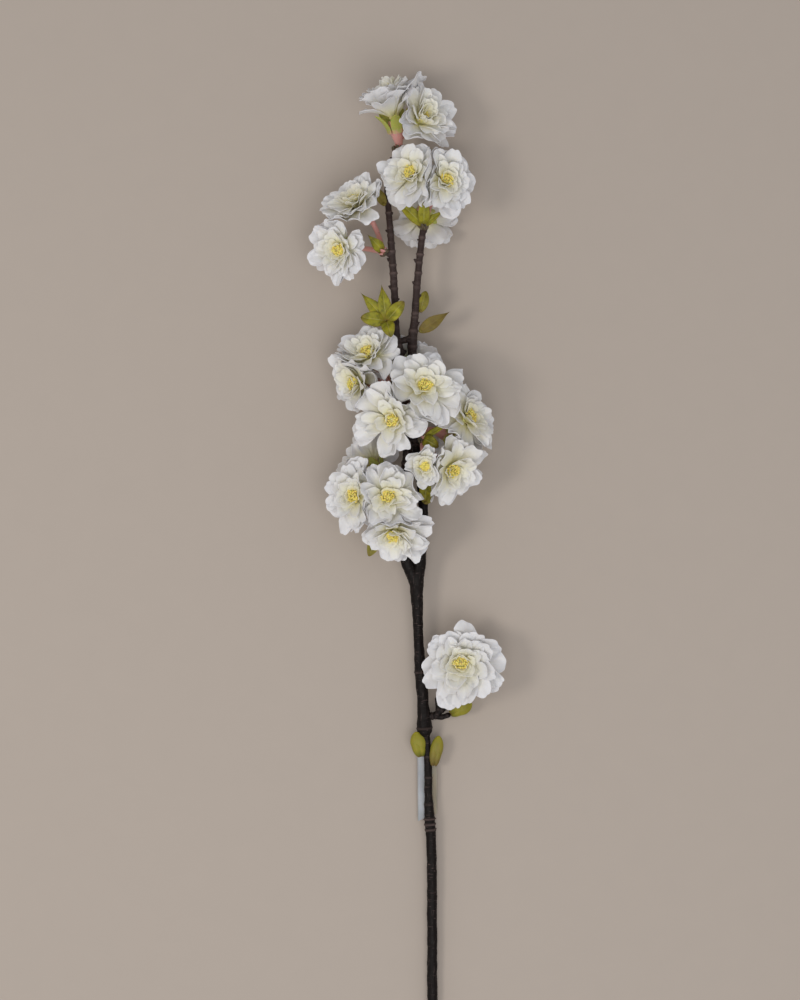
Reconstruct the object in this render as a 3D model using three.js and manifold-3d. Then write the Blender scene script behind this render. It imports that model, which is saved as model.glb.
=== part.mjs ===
// A cut sprig of double white cherry blossom, lying on a table with its fullest side up.
// Millimetres, +Z up. The branch runs along Y with its cut end at -Y, and the table is the plane Z = 0.

import * as THREE from "three";
import { mergeVertices } from "three/addons/utils/BufferGeometryUtils.js";
import Module from "manifold-3d";

const wasm = await Module();
wasm.setup();
const { Manifold, Mesh: SolidMesh } = wasm;

// ---- Driving dimensions ----

const GAP = 0.35; // clear air left between two pieces that touch
const PETAL_THICKNESS = 0.7;
const CUP = 0.14; // how far a petal's edges rise, as a share of its half width
const SHOULDER_DROP = 0.32; // how much shorter a petal is at its edge than down its middle
const CORE_RADIUS = 3.6; // the eye that a bloom's petals grow from, at its back
const CORE_TAPER = 0.6; // how much narrower the eye is at its front
const CORE_FRONT = 2.0;
const CORE_BACK = -0.6;
const CUP_MOUTH = -1.7; // the calyx opens this far behind the foot of the petals
const STAMEN_LENGTH = 7;
const STAMEN_COUNT = 7;
const ANTHER_RADIUS = 0.6;
const CALYX_LENGTH = 10.5;
const CALYX_RADIUS = 3.5; // at its belly
const CALYX_BELLY = 0.45; // how far behind the mouth that is, as a share of the length
const SEPAL_REACH = 8.4;
const SEPAL_CLEFT = 3.2; // how far out the sepals part
const PEDICEL_RADIUS = 1.0;
const KNOB_RADIUS = 2.0; // the scaly knob at the foot of each umbel
const NODE_SWELL = 1.22; // how far a ring of bark stands out, as a share of the twig's radius
const NODE_SPACING = 11;
const NODE_RISE = 1.4; // from the foot of such a ring to its widest
const FINENESS = 0.05; // solids are simplified by no more than this
const FLOOR_SOFTNESS = 3; // petals nearer the table than this are bent up from it
const FLOOR_REST = -0.1; // where the lowest would end, so that they lie pressed flat
const NEIGHBOUR_SOFTNESS = 5;
const NEIGHBOUR_REST = 0.4;
const RUFFLE = 0.055; // how far a petal's rim waves, as a share of the bloom's radius

// Each ring of petals: how far from the bloom's axis and how high it starts, how long and wide it is as
// shares of the bloom's radius, and the angles, up from the bloom's own plane, at which it leaves and ends.
const RINGS = [
  { root: 1.9, seat: 0.1, reach: 1.0, width: 0.95, leaves: 24, ends: -4 },
  { root: 2.1, seat: 0.6, reach: 0.82, width: 0.8, leaves: 47, ends: 22 },
  { root: 2.0, seat: 1.6, reach: 0.56, width: 0.56, leaves: 74, ends: 50 },
];

// Each stretch of wood: [x, y, z, radius] along its middle, from its foot to its tip.
const TRUNK_AND_RIGHT_TWIG = [
  [16, -300, 2.5, 3],
  [14.5, -260, 3.5, 3],
  [13.9, -237, 4, 2.95],
  [13.7, -178.6, 5.2, 2.95],
  [13.3, -149.6, 5.9, 2.95],
  [12.2, -134, 6.4, 3.1],
  [11.6, -120.6, 6.9, 2.4],
  [11.3, -103.2, 7.4, 2.3],
  [10.8, -90.5, 7.9, 2.2],
  [9.6, -83.6, 8.2, 3.9],
  [9.2, -79, 8.4, 4.4],
  [8.7, -71.3, 8.7, 3.7],
  [8.1, -62.6, 9.2, 3.4],
  [7.3, -49.3, 10, 3.8],
  [6, -33.6, 11, 3],
  [5.3, -16.2, 12.2, 3],
  [4.6, 5.8, 13.7, 4.1],
  [6.4, 15.1, 14.3, 3.5],
  [7.5, 30.2, 15.5, 3],
  [8.4, 47.6, 17, 2.9],
  [7.5, 62.1, 18.5, 2.8],
  [5.8, 76.6, 20, 2.8],
  [3.5, 94, 21, 2.7],
  [2, 111.4, 22, 2.6],
  [1.5, 128.8, 22.5, 2.6],
  [2.3, 149.1, 23, 2.7],
  [3.5, 160.7, 23, 2.09],
  [4.9, 181, 23, 2],
  [7, 201.3, 23.5, 1.91],
  [8.1, 210.4, 24, 1.91],
];
const LEFT_TWIG = [
  [4.6, 1.2, 13.3, 3],
  [1.2, 11.6, 14.2, 3.6],
  [-1.5, 18.6, 15, 3.4],
  [-3.2, 33.1, 17, 3],
  [-3.5, 50.5, 20, 2.9],
  [-2.3, 66.1, 24, 2.8],
  [-0.9, 79.5, 28, 2.7],
  [-0.3, 89.3, 29.5, 2.7],
  [-1.2, 102.7, 28.5, 2.6],
  [-3.5, 120.1, 26, 2.6],
  [-6.7, 139.2, 24, 3.2],
  [-7.8, 147.3, 23.5, 3],
  [-7.8, 157.8, 23, 2],
  [-8.2, 169.4, 23, 2],
  [-9.1, 185.6, 23, 2.09],
  [-10, 197.2, 23, 2.09],
  [-11, 212.9, 23, 1.91],
  [-11.9, 223.9, 23, 1.83],
  [-12.6, 234.3, 23, 1.65],
  [-10.4, 247.7, 23.5, 1.48],
  [-6.9, 257.5, 24.3, 1.39],
];
const SPURS = [
  [[-7, 145, 23.5, 1.9], [-2.5, 146.5, 23.3, 1.8], [2.2, 148.6, 23, 1.9]],
  [[-6, 144.5, 24, 1.3], [-4.1, 141.5, 24.4, 1.1], [-4.1, 135.7, 24.8, 0.6]],
  [[-10, 196.5, 23, 1.9], [-14.6, 198, 24.3, 1.6]],
  [[-3.5, 120.1, 26, 2.0], [-9, 121.5, 28, 1.7]],
  [[-1.2, 102.7, 28.5, 2.0], [1, 106.5, 34, 1.7]],
  [[-0.3, 86.5, 29, 2.0], [3.5, 88, 31.5, 1.8], [7, 89, 33, 1.6]],
  [[-3.5, 50.5, 20, 2.2], [-8.5, 51.5, 24.5, 1.8]],
  [[-7.8, 157.8, 23, 1.8], [-11.6, 157.4, 26.6, 1.5]],
  [[8.9, -73.5, 8.6, 2.4], [14.6, -73.6, 8.7, 1.7], [18.6, -70.8, 9, 1.5], [24.4, -66.3, 9.1, 1.4]],
  [[14.6, -73.6, 8.7, 1.6], [19, -74.4, 8.8, 1.3], [23.4, -73.2, 9, 1.2]],
  [[17.8, -71.2, 9, 1.4], [17.2, -67.4, 9.6, 1.2], [16.6, -63.6, 10.4, 1.1]],
];
const TRUNK_BANDS = [-141, -137.8, -134.6]; // where three raised rings stand low on the trunk
const BAND_REACH = 0.8;
const RINGED_FROM = 64; // past here the twigs carry the rings that old bud scales leave

// Each umbel: the knob that its pedicels spring from, its blooms, and the leaves of the same bud.
// A bloom stands `at` the foot of its petals, faces along `faces`, and measures `across`.
// `petals` is how many of its outer, middle and inner petals there are, and `rise` is how many degrees
// nearer upright than in an open bloom they stand.
const UMBELS = [
  {
    name: "top",
    knob: [-6.6, 257.8, 24.4],
    blooms: [
      {
        name: "top_left", at: [-8.8, 275.6, 27], faces: [-0.2, 0.94, 0.28], across: 54,
        petals: [5, 3, 1], rise: 15,
      },
      { name: "top_right", at: [4.8, 272.6, 29], faces: [0.54, 0.4, 0.74], across: 45, petals: [5, 4, 1] },
    ],
  },
  {
    name: "right_tip",
    knob: [8.6, 213, 25.4],
    blooms: [
      { name: "tip_left", at: [2.2, 240.4, 36], faces: [-0.3, 0.2, 0.93], across: 42, petals: [5, 4, 1] },
      { name: "tip_right", at: [20.6, 237.8, 34], faces: [0.22, 0.05, 0.97], across: 42, petals: [5, 4, 1] },
      { name: "tip_under", at: [8.6, 219.5, 10], faces: [0, -0.55, -0.83], across: 40, petals: [5, 3, 0] },
    ],
    leaves: [
      { tip: [-6, 226, 32], width: 7, thickness: 1.6, bow: 0.12, blunt: true },
      { tip: [8.8, 229, 36], width: 7, thickness: 1.8, bow: 0.2, blunt: true },
      { tip: [21.4, 222, 30.5], width: 4.4, thickness: 1.4, bow: 0.25 },
    ],
  },
  {
    name: "left",
    knob: [-15, 198.1, 24.6],
    blooms: [
      { name: "left_low", at: [-38, 198.6, 31], faces: [-0.5, -0.15, 0.85], across: 38, petals: [5, 4, 1] },
      { name: "left_high", at: [-28.4, 224, 28], faces: [-0.45, 0.5, 0.74], across: 41, petals: [5, 4, 1] },
    ],
    leaves: [{ tip: [-24.4, 207.5, 31.5], width: 6.4, thickness: 1.2, bow: 0.12 }],
  },
  {
    name: "middle_left",
    knob: [-9.2, 121.8, 27],
    blooms: [
      { name: "middle_1", at: [-21.4, 136, 27], faces: [-0.45, 0.55, 0.7], across: 42, petals: [5, 4, 1] },
      { name: "middle_2", at: [-27.6, 121.6, 25], faces: [-0.8, -0.05, 0.6], across: 43, petals: [5, 4, 1] },
      {
        name: "middle_under", at: [-2, 131, 12], faces: [0.05, 0.66, -0.75], across: 42,
        petals: [5, 3, 0], via: [-7.5, 117, 20.5],
      },
    ],
  },
  {
    name: "middle_front",
    knob: [1.3, 107.2, 35],
    blooms: [
      { name: "middle_3", at: [8.4, 117, 44], faces: [0.1, 0.3, 0.95], across: 47, petals: [5, 4, 1] },
      { name: "middle_4", at: [-8.6, 99.6, 44], faces: [-0.2, -0.08, 0.98], across: 43, petals: [5, 4, 2] },
    ],
  },
  {
    name: "middle_right",
    knob: [7.8, 89.2, 33.3],
    blooms: [
      { name: "middle_5", at: [32, 100.6, 29], faces: [0.62, 0.2, 0.76], across: 42, petals: [5, 4, 1] },
      { name: "middle_6", at: [23, 72.2, 34], faces: [0.36, -0.3, 0.88], across: 43, petals: [5, 4, 1] },
      { name: "middle_7", at: [25.2, 91.5, 18], faces: [0.85, -0.2, -0.49], across: 42, petals: [5, 3, 0] },
      { name: "middle_small", at: [9, 72.4, 42], faces: [0.05, 0.05, 1], across: 25, petals: [5, 3, 0] },
    ],
    leaves: [{ tip: [17, 84, 37], width: 7.6, thickness: 1.8, bow: 0.2, blunt: true }],
  },
  {
    name: "low",
    knob: [-9.6, 51.8, 25.6],
    blooms: [
      { name: "low_1", at: [-30.4, 55.7, 30], faces: [-0.3, 0, 0.95], across: 42, petals: [5, 4, 1] },
      { name: "low_2", at: [-12.2, 55.6, 39], faces: [0.04, -0.02, 1], across: 43, petals: [5, 4, 1] },
      { name: "low_3", at: [-8.8, 36.8, 30], faces: [-0.1, -0.66, 0.74], across: 43, petals: [5, 4, 1] },
      { name: "low_4", at: [-20.5, 74, 17], faces: [-0.62, 0.6, -0.5], across: 40, petals: [5, 3, 0] },
    ],
  },
  {
    name: "single",
    knob: [25.5, -65.2, 9.2],
    blooms: [
      { name: "single", at: [31, -41.6, 19.5], faces: [-0.08, 0.02, 1], across: 50, petals: [5, 4, 2] },
    ],
  },
];

// Leaves and buds that spring straight from the bark. Those in one group share a foot.
const LEAF_GROUPS = [
  { name: "leaf_upper_left", foot: [-14.1, 224.8, 24.6], leaves: [
    { tip: [-19.2, 235.6, 33.5], width: 5.6, thickness: 1.6, bow: -0.1 },
  ] },
  { name: "leaf_tuft", foot: [-13, 157.3, 28], leaves: [
    { tip: [-28.4, 174, 29], width: 7.6, thickness: 2.2, bow: 0.12 },
    { tip: [-16, 178.8, 30], width: 8, thickness: 2.2, bow: 0.12 },
    { tip: [-28, 159.2, 30.5], width: 8.6, thickness: 2.6, bow: 0.14, blunt: true },
    { tip: [-2.8, 168.4, 32.5], width: 8.2, thickness: 2.6, bow: 0.14, blunt: true },
    { tip: [-10.4, 147.6, 33], width: 7.8, thickness: 2.6, bow: 0.1, blunt: true },
  ] },
  { name: "leaf_right_small", foot: [6.6, 162.8, 21.5], leaves: [
    { tip: [9.9, 175.4, 21], width: 6.6, thickness: 1.8, bow: 0.1, blunt: true },
  ] },
  { name: "leaf_right_large", foot: [5.9, 151.4, 22.5], leaves: [
    { tip: [24.2, 163.4, 23], width: 7.6, thickness: 1.6, bow: 0.08 },
  ] },
  { name: "leaf_low_right", foot: [9.6, 51, 22.5], leaves: [
    { tip: [10.2, 66.5, 29], width: 7.6, thickness: 1.8, bow: -0.1, blunt: true },
    { tip: [14.6, 58.6, 22], width: 4, thickness: 1.2, bow: 0 },
  ] },
  { name: "bud_beside_bloom", foot: [24.2, -72.6, 9], leaves: [
    { tip: [37, -65.6, 10], width: 9.2, thickness: 7, bow: 0, blunt: true },
  ] },
  { name: "bud_left", foot: [7.2, -96, 8.4], leaves: [
    { tip: [4.4, -80.8, 9.4], width: 9.4, thickness: 6, bow: 0, blunt: true },
  ] },
  { name: "bud_right", foot: [14.4, -102, 8.4], leaves: [
    { tip: [17.2, -84.2, 9.4], width: 7.2, thickness: 5, bow: 0, blunt: true },
  ] },
];

const LABEL = { from: -136.5, to: -98, middle: [11.1, 10.8], width: 11.5, thickness: 0.6 }; // blank paper

const LOOKS = {
  bark: { color: 0x2b211d, roughness: 0.55 },
  petal: { color: 0xf3f1ec, roughness: 0.7 },
  stamen: { color: 0xe6c93f, roughness: 0.6 },
  calyx: { color: 0xa8695f, roughness: 0.6 },
  leaf: { color: 0x8f9134, roughness: 0.5 },
  paper: { color: 0xb4b3b4, roughness: 0.7 },
};

// ---- Small tools ----

const vector = (p) => new THREE.Vector3(p[0], p[1], p[2]);
const radians = THREE.MathUtils.degToRad;

// A repeatable draw from 0 to 1.
function draw(seed, count) {
  const wave = Math.sin(seed * 12.9898 + count * 78.233) * 43758.5453;
  return wave - Math.floor(wave);
}

const spread = (seed, count, reach) => (draw(seed, count) * 2 - 1) * reach;

// ---- Solids ----

// A closed three.js geometry as a solid.
function solid(geometry) {
  const bare = geometry.clone();
  bare.deleteAttribute("normal");
  bare.deleteAttribute("uv");
  const merged = mergeVertices(bare, 1e-4);
  const vertProperties = merged.attributes.position.array;
  const [outward, inward] = [[], []];
  for (let i = 0; i < merged.index.count; i += 3) {
    const [a, b, c] = merged.index.array.subarray(i, i + 3);
    if (a === b || b === c || c === a) continue; // the point of a cone
    outward.push(a, b, c);
    inward.push(a, c, b);
  }
  const [made, turned] = [outward, inward].map((faces) => {
    const triVerts = new Uint32Array(faces);
    return new Manifold(new SolidMesh({ numProp: 3, vertProperties, triVerts }));
  });
  return made.volume() > 0 ? made : turned;
}

const joined = (solids) => solids.reduce((all, one) => all.add(one));

// The largest piece of a solid that a cut may have left in scraps.
function largest(cut) {
  const pieces = cut.decompose();
  return pieces.reduce((best, one) => (one.volume() > best.volume() ? one : best));
}

function boxesMeet(a, b) {
  const [one, two] = [a.boundingBox(), b.boundingBox()];
  return [0, 1, 2].every((k) => one.min[k] < two.max[k] && two.min[k] < one.max[k]);
}

// A solid cut clear of every cutter that it meets.
function clearOf(body, cutters) {
  let left = body;
  for (const cutter of cutters) {
    if (boxesMeet(left, cutter) && left.intersect(cutter).volume() > 1e-6) {
      left = left.subtract(cutter);
    }
  }
  return largest(left);
}

// A tube through rings of { at, radius }: a closed cylinder bent along them.
function tube(rings, sides) {
  const shape = new THREE.CylinderGeometry(1, 1, 1, sides, rings.length - 1);
  const tangents = rings.map((_, i) => {
    const [before, after] = [rings[Math.max(0, i - 1)], rings[Math.min(rings.length - 1, i + 1)]];
    return after.at.clone().sub(before.at).normalize();
  });
  const seen = new THREE.Vector3(0, 0, 1);
  const sideways = Math.abs(tangents[0].dot(seen)) > 0.9 ? new THREE.Vector3(1, 0, 0) : seen;
  let across = sideways.clone().cross(tangents[0]).normalize();
  const frames = tangents.map((tangent) => {
    across = across.clone().addScaledVector(tangent, -across.dot(tangent)).normalize();
    return { across, up: tangent.clone().cross(across) };
  });
  const position = shape.attributes.position;
  for (let i = 0; i < position.count; i += 1) {
    const ring = Math.round((0.5 - position.getY(i)) * (rings.length - 1));
    const moved = rings[ring].at
      .clone()
      .addScaledVector(frames[ring].across, position.getX(i) * rings[ring].radius)
      .addScaledVector(frames[ring].up, position.getZ(i) * rings[ring].radius);
    position.setXYZ(i, moved.x, moved.y, moved.z);
  }
  return solid(shape);
}

// The triangles between two rows of points, as triples of point numbers.
function rowTriangles(startA, countA, startB, countB) {
  const triangles = [];
  let [a, b] = [0, 0];
  while (a < countA - 1 || b < countB - 1) {
    const [nextA, nextB] = [(a + 1) / Math.max(1, countA - 1), (b + 1) / Math.max(1, countB - 1)];
    if (b === countB - 1 || (a < countA - 1 && nextA <= nextB)) {
      triangles.push([startA + a, startA + a + 1, startB + b]);
      a += 1;
    } else {
      triangles.push([startA + a, startB + b + 1, startB + b]);
      b += 1;
    }
  }
  return triangles;
}

// A closed blade round rows of middle points. Each point is { at, thick }, and both faces are split alike.
function blade(rows) {
  const points = rows.flat();
  const starts = rows.map((_, i) => rows.slice(0, i).flat().length);
  const faces = rows
    .slice(1)
    .flatMap((row, i) => rowTriangles(starts[i], rows[i].length, starts[i + 1], row.length));
  const normals = points.map(() => new THREE.Vector3());
  for (const [a, b, c] of faces) {
    const one = points[b].at.clone().sub(points[a].at);
    const normal = one.cross(points[c].at.clone().sub(points[a].at));
    for (const corner of [a, b, c]) normals[corner].add(normal);
  }
  const positions = [0.5, -0.5].flatMap((half) =>
    points.flatMap(({ at, thick }, i) =>
      at.clone().addScaledVector(normals[i].normalize(), thick * half).toArray(),
    ),
  );
  const last = rows.length - 1;
  const rim = [
    ...rows[0].map((_, i) => i),
    ...rows.slice(1, last).map((row, i) => starts[i + 1] + row.length - 1),
    ...rows[last].map((_, i) => points.length - 1 - i),
    ...rows.slice(1, last).map((_, i) => starts[last - 1 - i]),
  ];
  const back = points.length;
  const edges = rim.flatMap((a, i) => {
    const b = rim[(i + 1) % rim.length];
    return [a, a + back, b, b, a + back, b + back];
  });
  const index = [...faces.flat(), ...faces.flatMap(([a, b, c]) => [a + back, c + back, b + back]), ...edges];
  const shape = new THREE.BufferGeometry();
  shape.setAttribute("position", new THREE.Float32BufferAttribute(positions, 3));
  shape.setIndex(index);
  return solid(shape);
}

// ---- Branch ----

const ringsOf = (points) => points.map((p) => ({ at: vector(p), radius: p[3] }));

// The middle and radius of a twig where it passes y. Every twig runs towards +Y.
function woodAt(points, y, swell) {
  const next = Math.max(1, points.findIndex((p) => p[1] >= y));
  const [before, after] = [points[next - 1], points[next]];
  const share = (y - before[1]) / (after[1] - before[1]);
  const [x, , z, radius] = before.map((value, k) => THREE.MathUtils.lerp(value, after[k], share));
  return { at: new THREE.Vector3(x, y, z), radius: radius * swell };
}

// A twig's rings: plain wood through its points up to y = ringedFrom, with raised bands where it has them,
// and from there to its tip a raised ring of bark each NODE_SPACING.
function twigRings(points, ringedFrom, bands = []) {
  const rings = ringsOf(points.filter((p) => p[1] < ringedFrom));
  for (const y of bands) {
    rings.push(woodAt(points, y - BAND_REACH, 1), woodAt(points, y, NODE_SWELL));
    rings.push(woodAt(points, y + BAND_REACH, 1));
  }
  rings.sort((one, two) => one.at.y - two.at.y);
  const tip = points.at(-1)[1];
  for (let y = ringedFrom; y < tip - 2 * NODE_RISE; y += NODE_SPACING) {
    rings.push(woodAt(points, y, 1), woodAt(points, y + NODE_RISE, NODE_SWELL));
  }
  rings.push(woodAt(points, tip, 1));
  return rings;
}

function makeBranch() {
  const trunk = tube(twigRings(TRUNK_AND_RIGHT_TWIG, RINGED_FROM, TRUNK_BANDS), 7);
  const left = tube(twigRings(LEFT_TWIG, RINGED_FROM), 6);
  const spurs = SPURS.map((points) => tube(ringsOf(points), 5));
  const umbels = UMBELS.flatMap((umbel) => makeUmbel(umbel, GAP));
  return clearOf(joined([trunk, left, ...spurs]), umbels).trimByPlane([0, 0, 1], 0);
}

// The wood, a little fatter and with fewer rings, to cut other pieces clear of it.
function woodCutters() {
  const fat = (points) =>
    tube(points.map((p) => ({ at: vector(p), radius: (p[3] * NODE_SWELL + GAP) / 0.87 })), 6);
  return [fat(TRUNK_AND_RIGHT_TWIG), fat(LEFT_TWIG), ...SPURS.map(fat)];
}

// ---- Umbels: knob, pedicels, calyces and the leaves of the same bud ----

function knobSolid(umbel, extra) {
  const ball = new THREE.SphereGeometry((KNOB_RADIUS + extra) / 0.93, 7, 5);
  return solid(ball.translate(...umbel.knob));
}

const axisOf = (bloom) => vector(bloom.faces).normalize();

// A bloom's own frame: its axis, and two directions across it.
function frameOf(bloom) {
  const axis = axisOf(bloom);
  const lead = Math.abs(axis.y) > 0.9 ? new THREE.Vector3(1, 0, 0) : new THREE.Vector3(0, 1, 0);
  const right = lead.clone().cross(axis).normalize();
  return { axis, right, up: axis.clone().cross(right) };
}

function around(bloom, angle, out, high) {
  const { axis, right, up } = frameOf(bloom);
  return vector(bloom.at)
    .addScaledVector(right, Math.cos(angle) * out)
    .addScaledVector(up, Math.sin(angle) * out)
    .addScaledVector(axis, high);
}

// The stalk from an umbel's knob to a bloom, which it meets along the bloom's axis. It swells into a
// pink cup, which opens behind the petals into five pointed sepals.
function stalk(umbel, bloom, extra) {
  const scale = bloom.across / 42;
  const neck = CUP_MOUTH - CALYX_LENGTH * scale;
  const end = around(bloom, 0, 0, neck);
  const start = vector(umbel.knob);
  const pull = end.distanceTo(start) * 0.4;
  const bend = bloom.via ? vector(bloom.via) : end.clone().addScaledVector(axisOf(bloom), -pull);
  const curve = new THREE.QuadraticBezierCurve3(start, bend, end);
  const ring = (at, tangent, radius) => {
    const right = axisOf(bloom).cross(new THREE.Vector3(0.3, 0.2, 0.9)).normalize();
    right.addScaledVector(tangent, -right.dot(tangent)).normalize();
    const up = tangent.clone().cross(right);
    return Array.from({ length: 5 }, (_, i) => {
      const angle = (i / 5) * 2 * Math.PI;
      return at
        .clone()
        .addScaledVector(right, Math.cos(angle) * radius)
        .addScaledVector(up, Math.sin(angle) * radius);
    });
  };
  const rings = [0, 0.5, 1].map((share) =>
    ring(curve.getPoint(share), curve.getTangent(share), PEDICEL_RADIUS + extra),
  );
  const axis = axisOf(bloom);
  const belly = around(bloom, 0, 0, CUP_MOUTH - CALYX_LENGTH * CALYX_BELLY * scale);
  rings.push(ring(belly, axis, CALYX_RADIUS * scale + extra));
  const mouth = around(bloom, 0, 0, CUP_MOUTH - 0.4 + extra);
  const tips = ring(mouth.clone().addScaledVector(axis, 1.2), axis, SEPAL_REACH * scale + extra);
  const side = ring(mouth, axis, 1);
  const clefts = side.map((point, i) => {
    const half = point.clone().lerp(side[(i + 1) % 5], 0.5).sub(mouth).normalize();
    return mouth.clone().addScaledVector(half, SEPAL_CLEFT * scale + extra);
  });
  const points = [start, ...rings.flat(), ...tips, ...clefts, around(bloom, 0, 0, CUP_MOUTH + extra)];
  const index = [];
  const firstTip = 1 + rings.length * 5;
  const [lastRing, firstCleft, centre] = [firstTip - 5, firstTip + 5, firstTip + 10];
  for (let i = 0; i < 5; i += 1) {
    const j = (i + 1) % 5;
    index.push(0, 1 + j, 1 + i);
    for (let a = 1; a < lastRing; a += 5) {
      index.push(a + i, a + j, a + 5 + j, a + i, a + 5 + j, a + 5 + i);
    }
    index.push(lastRing + i, firstCleft + i, firstTip + i);
    index.push(lastRing + i, lastRing + j, firstCleft + i);
    index.push(lastRing + j, firstTip + j, firstCleft + i);
    index.push(centre, firstTip + i, firstCleft + i, centre, firstCleft + i, firstTip + j);
  }
  const shape = new THREE.BufferGeometry();
  shape.setAttribute("position", new THREE.Float32BufferAttribute(points.flatMap((p) => p.toArray()), 3));
  shape.setIndex(index);
  return solid(shape);
}

// A leaf or a plump bud scale from its foot to its tip, thickest down its middle.
function leafBlade(foot, leaf, extra) {
  const [start, tip] = [vector(foot), vector(leaf.tip)];
  const along = tip.clone().sub(start);
  const length = along.length();
  along.normalize();
  const side = along.clone().cross(new THREE.Vector3(0, 0, 1)).normalize();
  const lift = side.clone().cross(along);
  const full = leaf.width / 2 + extra;
  const row = (share, halves, thick) =>
    halves.map((half) => ({
      at: start
        .clone()
        .addScaledVector(along, share * length)
        .addScaledVector(side, -half * full)
        .addScaledVector(lift, length * leaf.bow * Math.sin(Math.PI * share) + Math.abs(half) * 0.6),
      thick: (half === 0 ? thick : Math.max(0.7, thick * 0.3)) + 2 * extra,
    }));
  const wide = leaf.blunt ? 0.92 : 0.72;
  return blade([
    row(-0.04, [-0.16, 0.16], leaf.thickness * 0.6),
    row(0.34, [-0.95, 0, 0.95], leaf.thickness),
    row(0.7, [-wide, 0, wide], leaf.thickness * 0.85),
    row(1 + extra / length, leaf.blunt ? [-0.3, 0.3] : [-0.04, 0.04], leaf.thickness * 0.3),
  ]);
}

function makeUmbel(umbel, extra) {
  const stalks = umbel.blooms.map((bloom) => stalk(umbel, bloom, extra));
  const leaves = (umbel.leaves || []).map((leaf) => leafBlade(umbel.knob, leaf, extra));
  return [knobSolid(umbel, extra), ...stalks, ...leaves];
}

function makeLeafGroup(group, extra) {
  const leaves = group.leaves.map((leaf) => leafBlade(group.foot, leaf, extra));
  if (leaves.length === 1) return leaves;
  const hub = new THREE.SphereGeometry(1.3 + extra, 6, 4).translate(...group.foot);
  return [solid(hub), ...leaves];
}

// ---- Blooms ----

// The petals of a bloom: their angles round it, sizes and angles of rise, each drawn a little apart.
function petalsOf(bloom) {
  const radius = bloom.across / 2;
  const seed = Math.abs(bloom.at[0]) + Math.abs(bloom.at[1]) * 0.37;
  const rise = bloom.rise || 0;
  return RINGS.flatMap((ring, layer) => {
    const count = bloom.petals[layer];
    return Array.from({ length: count }, (_, i) => {
      const key = layer * 97 + i * 11;
      return {
        angle: ((i + layer * 0.5) / count) * 2 * Math.PI + spread(seed, key, 0.1) + seed,
        root: ring.root,
        seat: ring.seat,
        length: radius * ring.reach * (1 + spread(seed, key + 1, 0.08)),
        width: radius * ring.width * (1 + spread(seed, key + 2, 0.1)),
        leaves: radians(ring.leaves + rise + spread(seed, key + 3, 3)),
        ends: radians(ring.ends + rise + spread(seed, key + 4, 9)),
        lean: 0.12 + spread(seed, key + 5, 0.05),
        ruffle: radius * RUFFLE,
        phase: draw(seed, key + 6) * 2 * Math.PI,
      };
    });
  });
}

// A point on a petal's middle face: `across` runs from -1 to 1, `along` from 0 at the root to 1 at the tip.
function petalPoint(bloom, petal, across, along) {
  const run = along * (1 - SHOULDER_DROP * Math.abs(across) ** 2.5);
  const turn = petal.ends - petal.leaves;
  const slope = petal.leaves + turn * run;
  const out = petal.root + (petal.length * (Math.sin(slope) - Math.sin(petal.leaves))) / turn;
  const high = (petal.length * (Math.cos(petal.leaves) - Math.cos(slope))) / turn;
  const half = (petal.width / 2) * (0.08 + 0.92 * Math.sin((Math.PI / 2) * along) ** 1.5);
  const cup = half * across ** 2 * CUP + half * across * petal.lean;
  const wave = petal.ruffle * along ** 3 * Math.sin(4.4 * across + petal.phase);
  const { axis, right, up } = frameOf(bloom);
  const outward = right.clone().multiplyScalar(Math.cos(petal.angle));
  outward.addScaledVector(up, Math.sin(petal.angle));
  const sideways = axis.clone().cross(outward);
  const face = axis.clone().multiplyScalar(Math.cos(slope)).addScaledVector(outward, -Math.sin(slope));
  return vector(bloom.at)
    .addScaledVector(outward, out)
    .addScaledVector(axis, high + petal.seat)
    .addScaledVector(sideways, half * across)
    .addScaledVector(face, cup + wave);
}

const bloomMiddle = (bloom) => around(bloom, 0, 0, bloom.across * 0.16);

// Walls that a bloom's petals are bent back from: one half-way to each near bloom, and the table.
function wallsOf(bloom, blooms) {
  const own = bloomMiddle(bloom);
  const walls = blooms
    .filter((other) => other !== bloom)
    .map((other) => ({ other, middle: bloomMiddle(other) }))
    .filter(({ other, middle }) => own.distanceTo(middle) < (bloom.across + other.across) * 0.56)
    .map(({ other, middle }) => {
      const normal = own.clone().sub(middle).normalize();
      const share = other.across / (bloom.across + other.across);
      const at = middle.clone().lerp(own, share);
      const offset = normal.dot(at) + GAP / 2;
      return { normal, offset, rest: NEIGHBOUR_REST, soft: NEIGHBOUR_SOFTNESS };
    });
  walls.push({ normal: new THREE.Vector3(0, 0, 1), offset: 0, rest: FLOOR_REST, soft: FLOOR_SOFTNESS });
  return walls;
}

// A point bent back from walls: what is past one is squeezed into the few millimetres before it.
function bentBack(point, walls) {
  for (const { normal, offset, rest, soft } of walls) {
    const depth = normal.dot(point) - offset;
    if (depth < soft) {
      const kept = rest + (soft - rest) * Math.exp((depth - soft) / (soft - rest));
      point.addScaledVector(normal, kept - depth);
    }
  }
  return point;
}

// The envelope of a bloom's stamens, which its petals leave clear.
function stamenSpace(bloom) {
  const rings = [
    { at: around(bloom, 0, 0, CORE_FRONT + 0.05), radius: 1.65 },
    { at: around(bloom, 0, 0, CORE_FRONT + STAMEN_LENGTH * 1.5), radius: 4.6 },
  ];
  return tube(rings, 6);
}

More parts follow.
